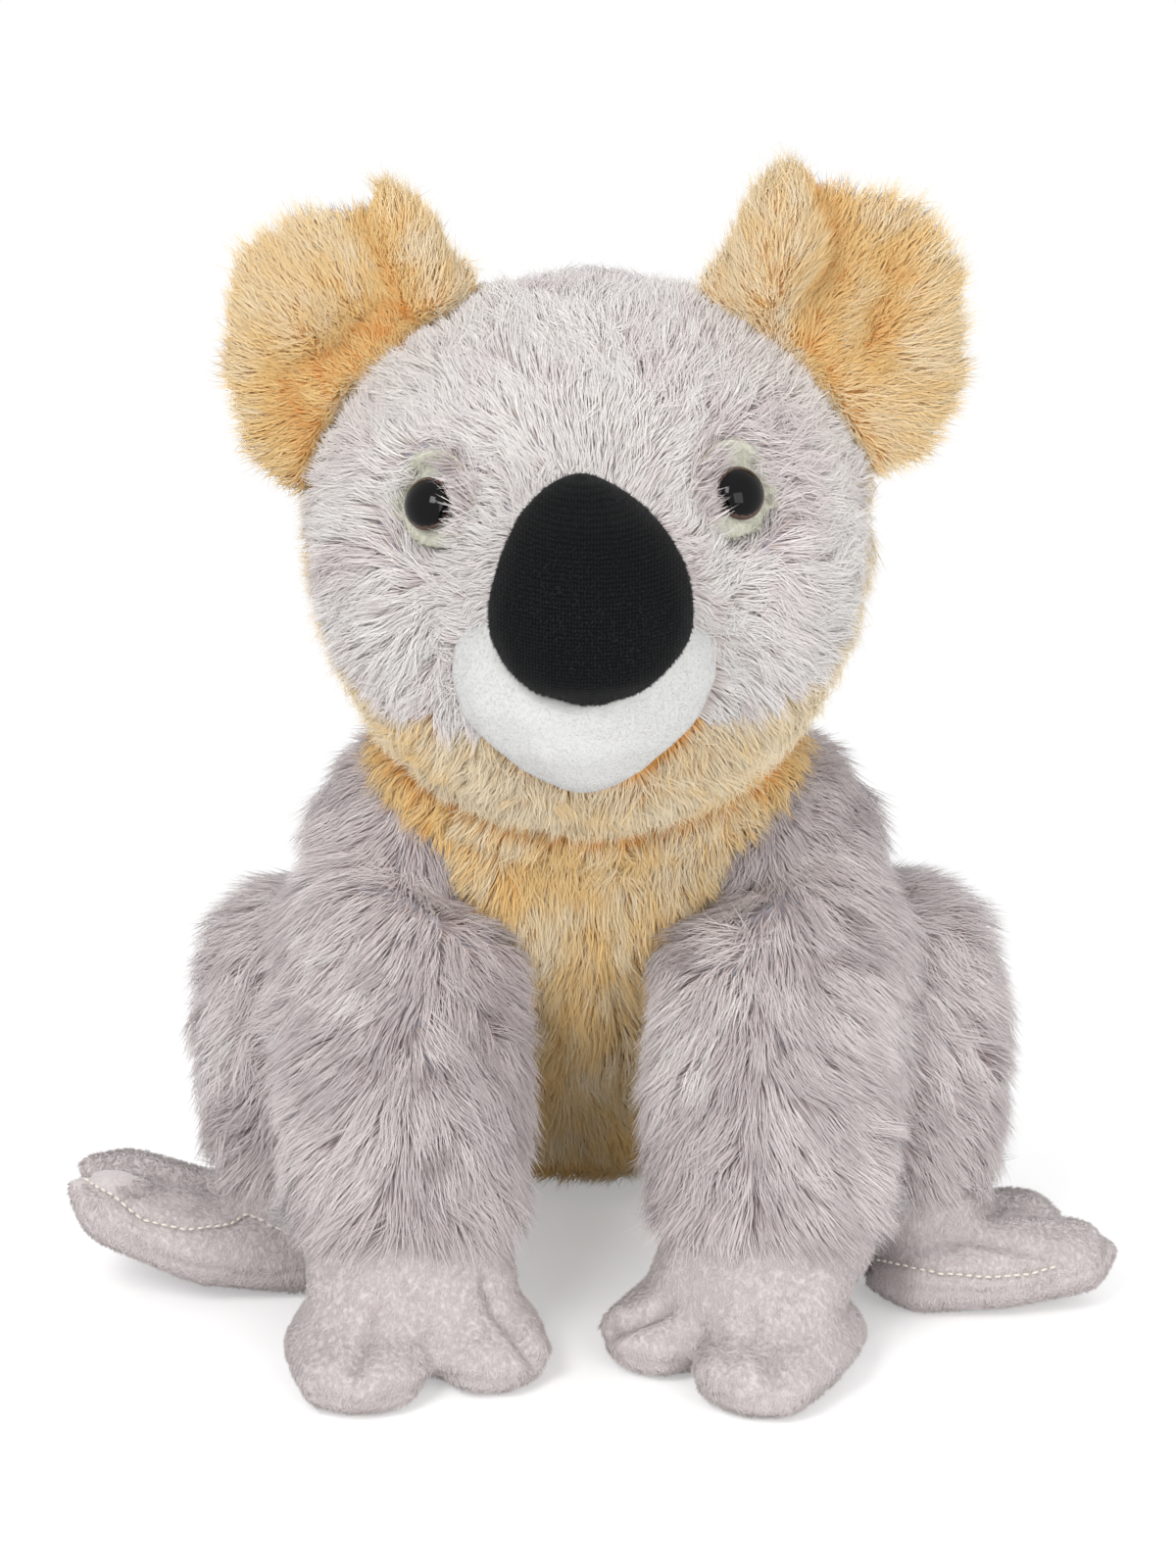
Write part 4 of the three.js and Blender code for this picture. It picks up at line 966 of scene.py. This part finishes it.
def head_length(root):
    """Short round the nose and the eyes, longer over the crown, longest low on the cheeks."""
    far = np.linalg.norm(root - nose_middle, axis=1)
    low = np.clip((nose_middle[2] + FACE_REACH - root[:, 2]) / FACE_BLEND, 0, 1)
    full = CROWN_PILE + (CHEEK_PILE - CROWN_PILE) * low
    length = FACE_PILE + (full - FACE_PILE) * np.clip((far - FACE_REACH) / FACE_BLEND, 0, 1)
    for side, sign in SIDES.items():
        length = np.where(beside_patch(side, sign, root), OVER_PATCH_PILE, length)
    return length


# For each panel: its place, pile, slot, length, strands to a square millimetre, seed and light
for node, chosen, pile, slot, length, density, seed, facing in (
        ("face_mask_panel", masked, gray_pile, "gray_plush", head_length, 3.0, 30, (0, -0.5, 0.5)),
        ("nape_panel", on_panel("nape_panel"), gray_pile, "gray_plush", head_length, 1.5, 31,
         (0, -0.1, 0.4)),
        ("chin_panel", on_panel("chin_panel"), cream_pile, "cream_plush", CHIN_PILE, 2.6, 32,
         (0, -0.5, 0.5))):
    dress(grow_pile(f"{node}_pile", head_cloth, chosen, from_nose, length, paler, seed=seed,
                    density=density, tuft=3 * MM, lean=(46, 12), gather=0.16, ruffle=1.2, facing=facing),
          "head", slot, [node], pile)
show_cream(skins["head"], head_cloth, on_panel("chin_panel"))

# Muzzle: white short fleece, sewn into the mask under the nose and stuffed tight with the head.
# Brushed knit with almost no pile: matt and very even, with a fuzz that shows at its edge.
MUZZLE_STEP = 1.0 * MM
MUZZLE_ROUNDING = 24
MUZZLE_SWELL = 1.2 * MM
FLEECE_FUZZ = 0.45 * MM
FLEECE_FIBRE = 0.14 * MM
FLEECE_NAP = (0, -0.3, -1)
FLEECE_GRAIN = 0.8 * MM
FLEECE_TONES = [(0.0, "#e4e4e2"), (1.0, "#eaeae8")]
FUZZ_FROM = 0.2
OUTLINE_ROWS = 40
OUTLINE_ROUNDING = 7
NARROWEST_STRETCH = 0.5
WIDEST_STRETCH = 1.2
# The muzzle's outline in pixels of the photograph: a row, and its left and right ends
MUZZLE_OUTLINE = [(608, 520, 690), (633, 478, 718), (645, 470, 726), (660, 464, 730), (689, 461, 731),
                  (730, 472, 715), (744, 483, 704), (760, 500, 688), (772, 514, 672), (785, 530, 658),
                  (797, 552, 640), (806, 572, 620)]


def fit_outline(piece, outline):
    """Widens or narrows a form, row by row, until the camera sees it end where the outline does."""
    points = Cloth(piece.data).points
    seen = pixels_of(points)
    edges = np.linspace(seen[:, 1].min(), seen[:, 1].max(), OUTLINE_ROWS + 1)
    row_of = np.clip(np.digitize(seen[:, 1], edges) - 1, 0, OUTLINE_ROWS - 1)
    middles = (edges[:-1] + edges[1:]) / 2
    in_rows = [seen[row_of == row, 0] for row in range(OUTLINE_ROWS)]
    low = np.interp(seen[:, 1], middles, [across.min() for across in in_rows])
    high = np.interp(seen[:, 1], middles, [across.max() for across in in_rows])
    rows, *ends = np.array(outline, float).T
    left, right = (np.interp(seen[:, 1], rows, end) for end in ends)
    scale = np.clip((right - left) / np.maximum(high - low, 1), NARROWEST_STRETCH, WIDEST_STRETCH)
    shift = (left + right) / 2 + (seen[:, 0] - (low + high) / 2) * scale - seen[:, 0]
    move(piece, (shift * PIXEL_AT_TARGET)[:, None] * (1, 0, 0))
    add_modifier(piece, "SMOOTH", factor=SMOOTH_HALF, iterations=OUTLINE_ROUNDING)
    apply_modifiers(piece)


white_fleece = brushed_cloth("white polyester fleece", "#dbdbd9", "#dfdfdd", FLEECE_GRAIN,
                             roughness=0.95, sheen=0.08)
fleece_fuzz = polyester_pile("white fleece fuzz", FLEECE_TONES, "#f2f2f0", sheen=0.1)
muzzle = one_skin("muzzle_fleece", ["muzzle_panel"], MUZZLE_STEP, MUZZLE_ROUNDING, MUZZLE_SWELL)
fit_outline(muzzle, MUZZLE_OUTLINE)
dress([muzzle], "head", "white_fleece", ["muzzle_panel"], white_fleece)
muzzle_cloth = Cloth(muzzle.data)
dress(grow_pile("muzzle_fuzz", muzzle_cloth, muzzle_cloth.outward[:, 1] < FUZZ_FROM,
                steady(FLEECE_NAP), FLEECE_FUZZ, seed=60, density=5.0, tuft=1.2 * MM, lean=(50, 30),
                gather=0.1, width=FLEECE_FIBRE, stray=0.8, knee=False, bloom=0.99, mottle=0.2),
      "head", "white_fleece", ["muzzle_panel"], fleece_fuzz)

# Nose: a padded oval of black knitted jersey, gathered over wadding and sewn on above the muzzle.
# The knit's rows lie across it, and its cut fibres give a gray bloom at the edge.
NOSE_STEP = 1.2 * MM
NOSE_ROUNDING = 30
NOSE_SWELL = 1.1 * MM
NOSE_DOME = 3 * MM
# The nose's outline in pixels of the photograph: a row, and its left and right ends
NOSE_OUTLINE = [(485, 575, 612), (495, 556, 632), (504, 546, 645), (520, 532, 664), (545, 519, 683),
                (573, 508, 699), (600, 500, 706), (625, 497, 708), (647, 499, 706), (665, 506, 697),
                (682, 515, 685), (697, 528, 670), (707, 541, 656), (714, 570, 632)]
JERSEY_ROW = 0.9 * MM
JERSEY_STITCH = 0.7 * MM
JERSEY_HEIGHT = 0.15 * MM
JERSEY_FUZZ = 0.9 * MM
JERSEY_FIBRE = 0.16 * MM
JERSEY_TONES = [(0.0, "#060708"), (1.0, "#16191c")]
JERSEY_NAP = (0, -0.2, -1)
JERSEY_FUZZ_FROM = 0.3
DOME_STEEPNESS = 2


def knitted_jersey(name, dark, pale):
    """Black jersey: rows of small loops about 1 mm apart, each a little paler where it stands up, a painted
    highlight.
    """
    material, tree = new_material(name)
    place = add_node(tree, "ShaderNodeTexCoord").outputs["Object"]
    rows = add_node(tree, "ShaderNodeTexWave", {
        "Vector": place, "Scale": wave_scale(JERSEY_ROW), "Distortion": 2.5, "Detail": 3.0,
        "Detail Scale": 1.5}, bands_direction="Z")
    stitches = add_node(tree, "ShaderNodeTexWave", {
        "Vector": place, "Scale": wave_scale(JERSEY_STITCH), "Distortion": 2.0}, bands_direction="X")
    loops = add_node(tree, "ShaderNodeMath", {0: rows.outputs["Fac"], 1: stitches.outputs["Fac"]},
                     operation="MULTIPLY")
    bump = add_node(tree, "ShaderNodeBump", {
        "Height": loops.outputs[0], "Strength": 0.7, "Distance": JERSEY_HEIGHT})
    # Painted highlight: the loops' colour is paler where they stand up
    shade = add_node(tree, "ShaderNodeValToRGB", {"Fac": loops.outputs[0]}, [(0.0, dark), (0.8, pale)])
    return finish_material(material, "ShaderNodeBsdfPrincipled", {
        "Base Color": shade.outputs["Color"], "Roughness": 0.85, "Normal": bump.outputs["Normal"],
        "Sheen Weight": 0.04, "Sheen Roughness": 0.45, "Specular IOR Level": 0.12})


black_jersey = knitted_jersey("black knitted jersey", "#040506", "#15171a")
jersey_fuzz = polyester_pile("black jersey fuzz", JERSEY_TONES, "#dddddd", sheen=0.02)
nose = one_skin("nose_jersey", ["nose_pad"], NOSE_STEP)
form = bmesh.new()
form.from_mesh(nose.data)
make_convex(form)
form.to_mesh(nose.data)
form.free()
rounded(nose, NOSE_STEP, NOSE_ROUNDING, NOSE_SWELL)
fit_outline(nose, NOSE_OUTLINE)
points = Cloth(nose.data).points
low, high = points.min(0), points.max(0)
share = (points - (low + high) / 2) / ((high - low) / 2)
dome = np.clip(1 - share[:, 0] ** 2 - share[:, 2] ** 2, 0, 1) * np.clip(-share[:, 1] * DOME_STEEPNESS, 0, 1)
move(nose, (-NOSE_DOME * dome)[:, None] * (0, 1, 0))
dress([nose], "head", "black_jersey", ["nose_pad"], black_jersey)
nose_cloth = Cloth(nose.data)
dress(grow_pile("nose_fuzz", nose_cloth, nose_cloth.outward[:, 1] < JERSEY_FUZZ_FROM,
                steady(JERSEY_NAP), JERSEY_FUZZ, seed=61, density=2.0, tuft=1.0 * MM, lean=(55, 35),
                gather=0.2, width=JERSEY_FIBRE, stray=0.8, knee=False),
      "head", "black_jersey", ["nose_pad"], jersey_fuzz)

# Eyes: a polished dome with a shank, moulded in one, pushed through a pale short-pile patch and
# locked by a nylon washer inside the head. Its rim shows brown, and its middle is black.
PATCH_SINK = 0.8 * MM
INNER_FROM = 6.0 * MM
INNER_PILE = 9 * MM
PATCH_THICK = 2.4 * MM
PATCH_RINGS = 10
PATCH_SPOKES = 48
PATCH_EDGE = 0.6 * MM
PATCH_WELD = 0.1 * MM
PATCH_SHOWN_FROM = 0.9
PATCH_FACING = 0.2
PATCH_SLANT = 0.35
PATCH_PILE = 2.2 * MM
PATCH_NAP = (0.6, 0, -0.6)
PATCH_TONES = [(0.0, "#d3d3c2"), (0.5, "#ecebdc"), (1.0, "#fafaec")]
EYE_STEPS = 96
EYE_RINGS = 20
EYE_RIM_SHARE = 0.86
PUPIL_INWARD = 0.8 * MM
EYE_EDGE = 0.6 * MM
SHANK_RADIUS = 1.8 * MM
SHANK_LENGTH = 13 * MM
LOOK_FROM = 39 * MM
ACRYLIC = {"grain": EYE_EDGE, "smooth": 0.05, "rough": 0.08, "ior": 1.49, "specular": 0.2}
NYLON = {"grain": SHANK_RADIUS, "smooth": 0.35, "rough": 0.5, "ior": 1.53, "specular": 0.5}


def moulded_plastic(name, colour, grain, smooth, rough, ior, specular):
    """Moulded plastic, with a faint flow pattern in its skin. Polished acrylic has one deep even
    colour and sharp highlights, and nylon is milky and satin."""
    material, tree = new_material(name)
    place = add_node(tree, "ShaderNodeTexCoord").outputs["Object"]
    flow = add_node(tree, "ShaderNodeTexNoise", {"Vector": place, "Scale": 1 / grain, "Detail": 2.0})
    skin = add_node(tree, "ShaderNodeMapRange", {
        "Value": flow.outputs["Fac"], "To Min": smooth, "To Max": rough})
    return finish_material(material, "ShaderNodeBsdfPrincipled", {
        "Base Color": linear(colour), "Roughness": skin.outputs["Result"], "IOR": ior,
        "Specular IOR Level": specular})


def turned(name, outline, foot, axis):
    """A piece turned round an axis: outline is radius and height from the axis out and back to it."""
    spin = axis.to_track_quat("Z", "Y").to_matrix()
    points = [foot + axis * outline[0][1]]
    for radius, height in outline[1:-1]:
        for step in range(EYE_STEPS):
            turn = math.tau * step / EYE_STEPS
            points.append(foot + spin @ Vector((radius * math.cos(turn), radius * math.sin(turn), height)))
    points.append(foot + axis * outline[-1][1])
    faces = ring_faces(len(outline) - 2, EYE_STEPS, 1)
    last = len(points) - 1 - EYE_STEPS
    for step in range(EYE_STEPS):
        ahead = (step + 1) % EYE_STEPS
        faces += [[0, 1 + step, 1 + ahead], [last + step, len(points) - 1, last + ahead]]
    return add_mesh(name, points, faces)


patch_backing = ribbed("pale knitted polyester backing", "#d8d7c6")
patch_pile = polyester_pile("pale short pile", PATCH_TONES, "#dfdfd2")
black_acrylic = moulded_plastic("polished black acrylic", "#060506", **ACRYLIC)
brown_acrylic = moulded_plastic("polished brown acrylic", "#5a463e", **ACRYLIC)
nylon = moulded_plastic("moulded nylon", "#dcdcd6", **NYLON)


def patch_form(name, side, sign, outside):
    """A thin pad that lies on the face round an eye, as far out as the patch reaches."""
    middle, axis, out, up = eye_frame(side, sign)
    points = []
    for ring in range(PATCH_RINGS + 1):
        for spoke in range(PATCH_SPOKES):
            turn = math.tau * spoke / PATCH_SPOKES
            wide = PATCH_SIDES["out" if math.cos(turn) > 0 else "in"] * math.cos(turn)
            high = PATCH_SIDES["up" if math.sin(turn) > 0 else "down"] * math.sin(turn)
            place = middle + (wide * out + high * up) * (ring / PATCH_RINGS)
            hit = outside.ray_cast(Vector(place + axis * LOOK_FROM), Vector(-axis))[0]
            sunk = PATCH_SINK + PATCH_EDGE * max(0, ring - PATCH_RINGS + 2)
            points.append(hit - Vector(axis) * sunk)
    faces = [face[::sign] for face in ring_faces(PATCH_RINGS + 1, PATCH_SPOKES)]
    piece = add_mesh(name, points, faces)
    add_modifier(piece, "WELD", merge_threshold=PATCH_WELD)
    add_modifier(piece, "SMOOTH", factor=SMOOTH_HALF, iterations=2)
    add_modifier(piece, "SOLIDIFY", thickness=PATCH_THICK, offset=-1)
    add_modifier(piece, "SUBSURF", levels=1)
    apply_modifiers(piece)
    return piece


for side, sign in SIDES.items():
    eye_cad = Cloth(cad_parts[f"eye_{side}"].data)
    foot, axis, out, up = eye_frame(side, sign)
    heights, radii = round_axis(eye_cad.points, foot, axis)
    radius, rise = radii.max(), heights.max()
    turns = [math.pi / 2 * step / EYE_RINGS for step in range(1, EYE_RINGS + 1)]
    outline = [(0, rise)] + [(radius * math.sin(turn), rise * math.cos(turn)) for turn in turns]
    outline += [(radius - EYE_EDGE, -EYE_EDGE / 2), (SHANK_RADIUS, -EYE_EDGE / 2),
                (SHANK_RADIUS, -SHANK_LENGTH), (0, -SHANK_LENGTH)]
    eye = turned(f"eye_dome_{side}", outline, Vector(foot), Vector(axis))
    dress([eye], "head", "black_gloss", [f"eye_{side}"], black_acrylic, brown_acrylic)
    middles = np.array([face.center for face in eye.data.polygons]) + out * PUPIL_INWARD
    rim = round_axis(middles, foot, axis)[1] > radius * EYE_RIM_SHARE
    eye.data.polygons.foreach_set("material_index", rim.astype(np.int32))
    face = BVHTree.FromPolygons(*joined([f"eye_patch_{side}"] + body_nodes["head"]))
    patch = patch_form(f"eye_patch_cover_{side}", side, sign, face)
    dress([patch], "head", "patch_plush", [f"eye_patch_{side}"], patch_backing)
    patch_cloth = Cloth(patch.data)
    outward = patch_cloth.outward @ axis
    inward = -(patch_cloth.middles - foot) @ unit(out - PATCH_SLANT * up)
    inner = (outward > 0) & (inward > INNER_FROM)
    dress(grow_pile(f"eye_side_pile_{side}", patch_cloth, inner, from_nose, INNER_PILE, seed=68 + sign,
                    density=3.6, tuft=2.5 * MM, lean=(62, 12), gather=0.3),
          "head", "gray_plush", ["face_mask_panel"], gray_pile)
    beside_eye = round_axis(patch_cloth.middles, foot, axis)[1] > radius * PATCH_SHOWN_FROM
    shown = (outward > PATCH_FACING) & beside_eye & ~inner
    dress(grow_pile(f"eye_patch_pile_{side}", patch_cloth, shown, steady(PATCH_NAP, sign), PATCH_PILE,
                    seed=65 + sign, density=4, tuft=1.2 * MM, lean=(45, 25), gather=0.3,
                    width=FLEECE_FIBRE, stray=0.3, knee=False),
          "head", "patch_plush", [f"eye_patch_{side}"], patch_pile)
    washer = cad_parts[f"eye_washer_{side}"].data
    washer.materials.clear()
    washer.materials.append(nylon)

# Ears: a cream front sewn to a gray back round the rim, pinched into folds where it joins the head.
# The nap runs outward from the folds to the rim and past it, and is short in them, with painted shade
# deepening its tone there.
EAR_PILE = 10 * MM
EAR_BACK_PILE = 7 * MM
FRONT_FACING = 0.3
EAR_OUTWARD = {"right": 0.2, "left": 0.17}
EAR_LOWER = 0.1
EAR_FOLD_DEPTH = 4 * MM
EAR_FOLD_WIDTH = 6 * MM
EAR_FOLD_REACH = 8 * MM
EAR_BACK_STRAND = 0.3 * MM
EAR_FRONT_STRAND = 0.22 * MM
HEART_SHARE = (0.2, 0, 0.25)
FLAT = np.array([1, 0, 1])
FLATTER = np.array([1, 0.3, 1])
FOLD_PILE_SHARE = 0.35
# Painted shade in the ears' folds: the pile's tone is deeper there and paler away from them
PAINTED_FOLD_SHADE = 0.7
# The folds, in pixels of the photograph
EAR_FOLDS = {
    "right": [[(370, 235), (384, 270), (404, 313), (358, 359), (330, 375), (302, 390), (315, 440)]],
    "left": [[(837, 202), (849, 234), (854, 269), (834, 304), (832, 329), (839, 369)],
             [(901, 269), (899, 304), (884, 336), (874, 366)]],
}

for side, sign in SIDES.items():
    skin = skins[f"ear_{side}"]
    above = np.maximum(Cloth(skin.data).points[:, 2] - middle_of(f"ear_front_{side}")[2], 0)
    move(skin, np.stack([sign * EAR_OUTWARD[side] * above, 0 * above, -EAR_LOWER * above], 1))
    cloth = Cloth(skin.data)
    folds = [traced(cloth, fold) for fold in EAR_FOLDS[side]]
    for fold in folds:
        far, _ = off_line(cloth.points * FLAT, fold * FLAT)
        move(skin, (EAR_FOLD_DEPTH * np.exp(-(far / EAR_FOLD_WIDTH) ** 2))[:, None] * (0, 1, 0))
    cloth = backing_of(f"ear_{side}")
    panel = panel_of(cloth, [f"ear_back_{side}", f"ear_front_{side}"])
    panel[cloth.outward[:, 1] < FRONT_FACING] = 1
    low, high = (np.array(corner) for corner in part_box(f"ear_front_{side}"))
    heart = (low + high) / 2 - np.multiply(HEART_SHARE, (sign, 1, 1)) * (high - low)

    def outward(root, normal, heart=heart):
        return unit((root - heart) * FLATTER)

    def from_folds(root, normal, folds=folds, heart=heart):
        """Away from the nearest fold, turning outward to the rim."""
        offs = [off_line(root, fold) for fold in folds]
        far = np.min([far for far, _ in offs], axis=0)
        way = np.where((offs[0][0] <= far)[:, None], offs[0][1], offs[-1][1])
        near = np.clip(1 - far / EAR_FOLD_REACH, 0, 1)[:, None]
        return outward(root, normal, heart) + unit(way) * near

    def fold_share(root, folds=folds):
        far = np.min([off_line(root, fold)[0] for fold in folds], axis=0)
        return np.clip(far / EAR_FOLD_REACH, 0, 1)

    dress(grow_pile(f"ear_back_{side}_pile", cloth, panel == 0, outward, EAR_BACK_PILE,
                    seed=40 + sign, density=2.0, tuft=3.5 * MM, width=EAR_BACK_STRAND, bloom=0.4),
          f"ear_{side}", "gray_plush", [f"ear_back_{side}"], gray_pile)
    dress(grow_pile(f"ear_front_{side}_pile", cloth, panel == 1, from_folds,
                    lambda root: EAR_PILE * (FOLD_PILE_SHARE + (1 - FOLD_PILE_SHARE) * fold_share(root)),
                    # Painted shade: deeper tone in the folds, paler away from them
                    lambda root, normal: PAINTED_FOLD_SHADE * (fold_share(root) - PAINTED_FOLD_SHADE), seed=43 + sign,
                    density=5.0, tuft=3 * MM, lean=(48, 14), gather=0.12, width=EAR_FRONT_STRAND,
                    stray=0.25, facing=(0, -0.8, 0.4), ruffle=0.5, mottle=0.7),
          f"ear_{side}", "cream_plush", [f"ear_front_{side}"], cream_pile)
    show_cream(skin, cloth, panel == 1)

# Studio: a white sweep of floor under soft light from above and in front.
# The paper fades to plain white away from the toy, and keeps the toy's shadow near it.
FLOOR_HALF = 6.0
FADE_START = 0.13
FADE_END = 0.36
NEAR_GLOW = 0.34
SKY_GLOW = 0.65
WHITE = linear("#ffffff")
CORNERS = ((-1, -1), (1, -1), (1, 1), (-1, 1))
# Each softbox's place and width in metres, and its power in watts
SOFTBOXES = (("key_softbox", (-0.6, -1.3, 1.3), 0.6, 13), ("fill_softbox", (0.7, -1.4, 0.55), 0.9, 7.5),
             ("back_softbox", (0.3, 1.5, 1.2), 0.9, 5))


def seen_directly(tree):
    """1 where the eye meets a surface itself or through a mirror or clear piece, 0 where it only lights."""
    rays = add_node(tree, "ShaderNodeLightPath").outputs
    glossy = add_node(tree, "ShaderNodeMath", {0: rays["Is Camera Ray"], 1: rays["Is Glossy Ray"]},
                      operation="MAXIMUM")
    return add_node(tree, "ShaderNodeMath", {0: glossy.outputs[0], 1: rays["Is Transmission Ray"]},
                    operation="MAXIMUM").outputs[0]


floor = add_mesh("studio_floor", [(x * FLOOR_HALF, y * FLOOR_HALF, 0) for x, y in CORNERS], [(0, 1, 2, 3)])
paper, tree = new_material("white background paper")
place = add_node(tree, "ShaderNodeTexCoord").outputs["Object"]
far = add_node(tree, "ShaderNodeVectorMath", {0: place}, operation="LENGTH").outputs["Value"]
fade = add_node(tree, "ShaderNodeMapRange", {
    "Value": far, "From Min": FADE_START, "From Max": FADE_END}, interpolation_type="SMOOTHSTEP")
matte = add_node(tree, "ShaderNodeBsdfDiffuse", {"Color": linear("#f4f4f4")}).outputs[0]
near_glow = add_node(tree, "ShaderNodeEmission", {"Color": WHITE, "Strength": NEAR_GLOW})
near_paper = add_node(tree, "ShaderNodeAddShader", {0: near_glow.outputs[0], 1: matte})
far_paper = add_node(tree, "ShaderNodeEmission", {"Color": WHITE, "Strength": 1.0})
faded = add_node(tree, "ShaderNodeMixShader", {
    0: fade.outputs["Result"], 1: near_paper.outputs[0], 2: far_paper.outputs[0]})
finish_material(paper, "ShaderNodeMixShader", {
    0: seen_directly(tree), 1: matte, 2: faded.outputs[0]})
floor.data.materials.append(paper)

world = bpy.data.worlds.new("studio_air")
world.use_nodes = True
world.node_tree.nodes.clear()
tree = world.node_tree
dim = add_node(tree, "ShaderNodeBackground", {"Color": WHITE, "Strength": SKY_GLOW})
white = add_node(tree, "ShaderNodeBackground", {"Color": WHITE, "Strength": 1.0})
mixed = add_node(tree, "ShaderNodeMixShader", {
    0: seen_directly(tree), 1: dim.outputs[0], 2: white.outputs[0]})
add_node(tree, "ShaderNodeOutputWorld", {"Surface": mixed.outputs[0]})
bpy.context.scene.world = world

for name, place, size, power in SOFTBOXES:
    lamp = bpy.data.lights.new(name, "AREA")
    lamp.size = size
    lamp.energy = power
    light = bpy.data.objects.new(name, lamp)
    light.location = place
    light.rotation_euler = (Vector(place) - CAMERA_TARGET).to_track_quat("Z", "Y").to_euler()
    bpy.context.scene.collection.objects.link(light)

bpy.context.scene.view_settings.view_transform = "Standard"
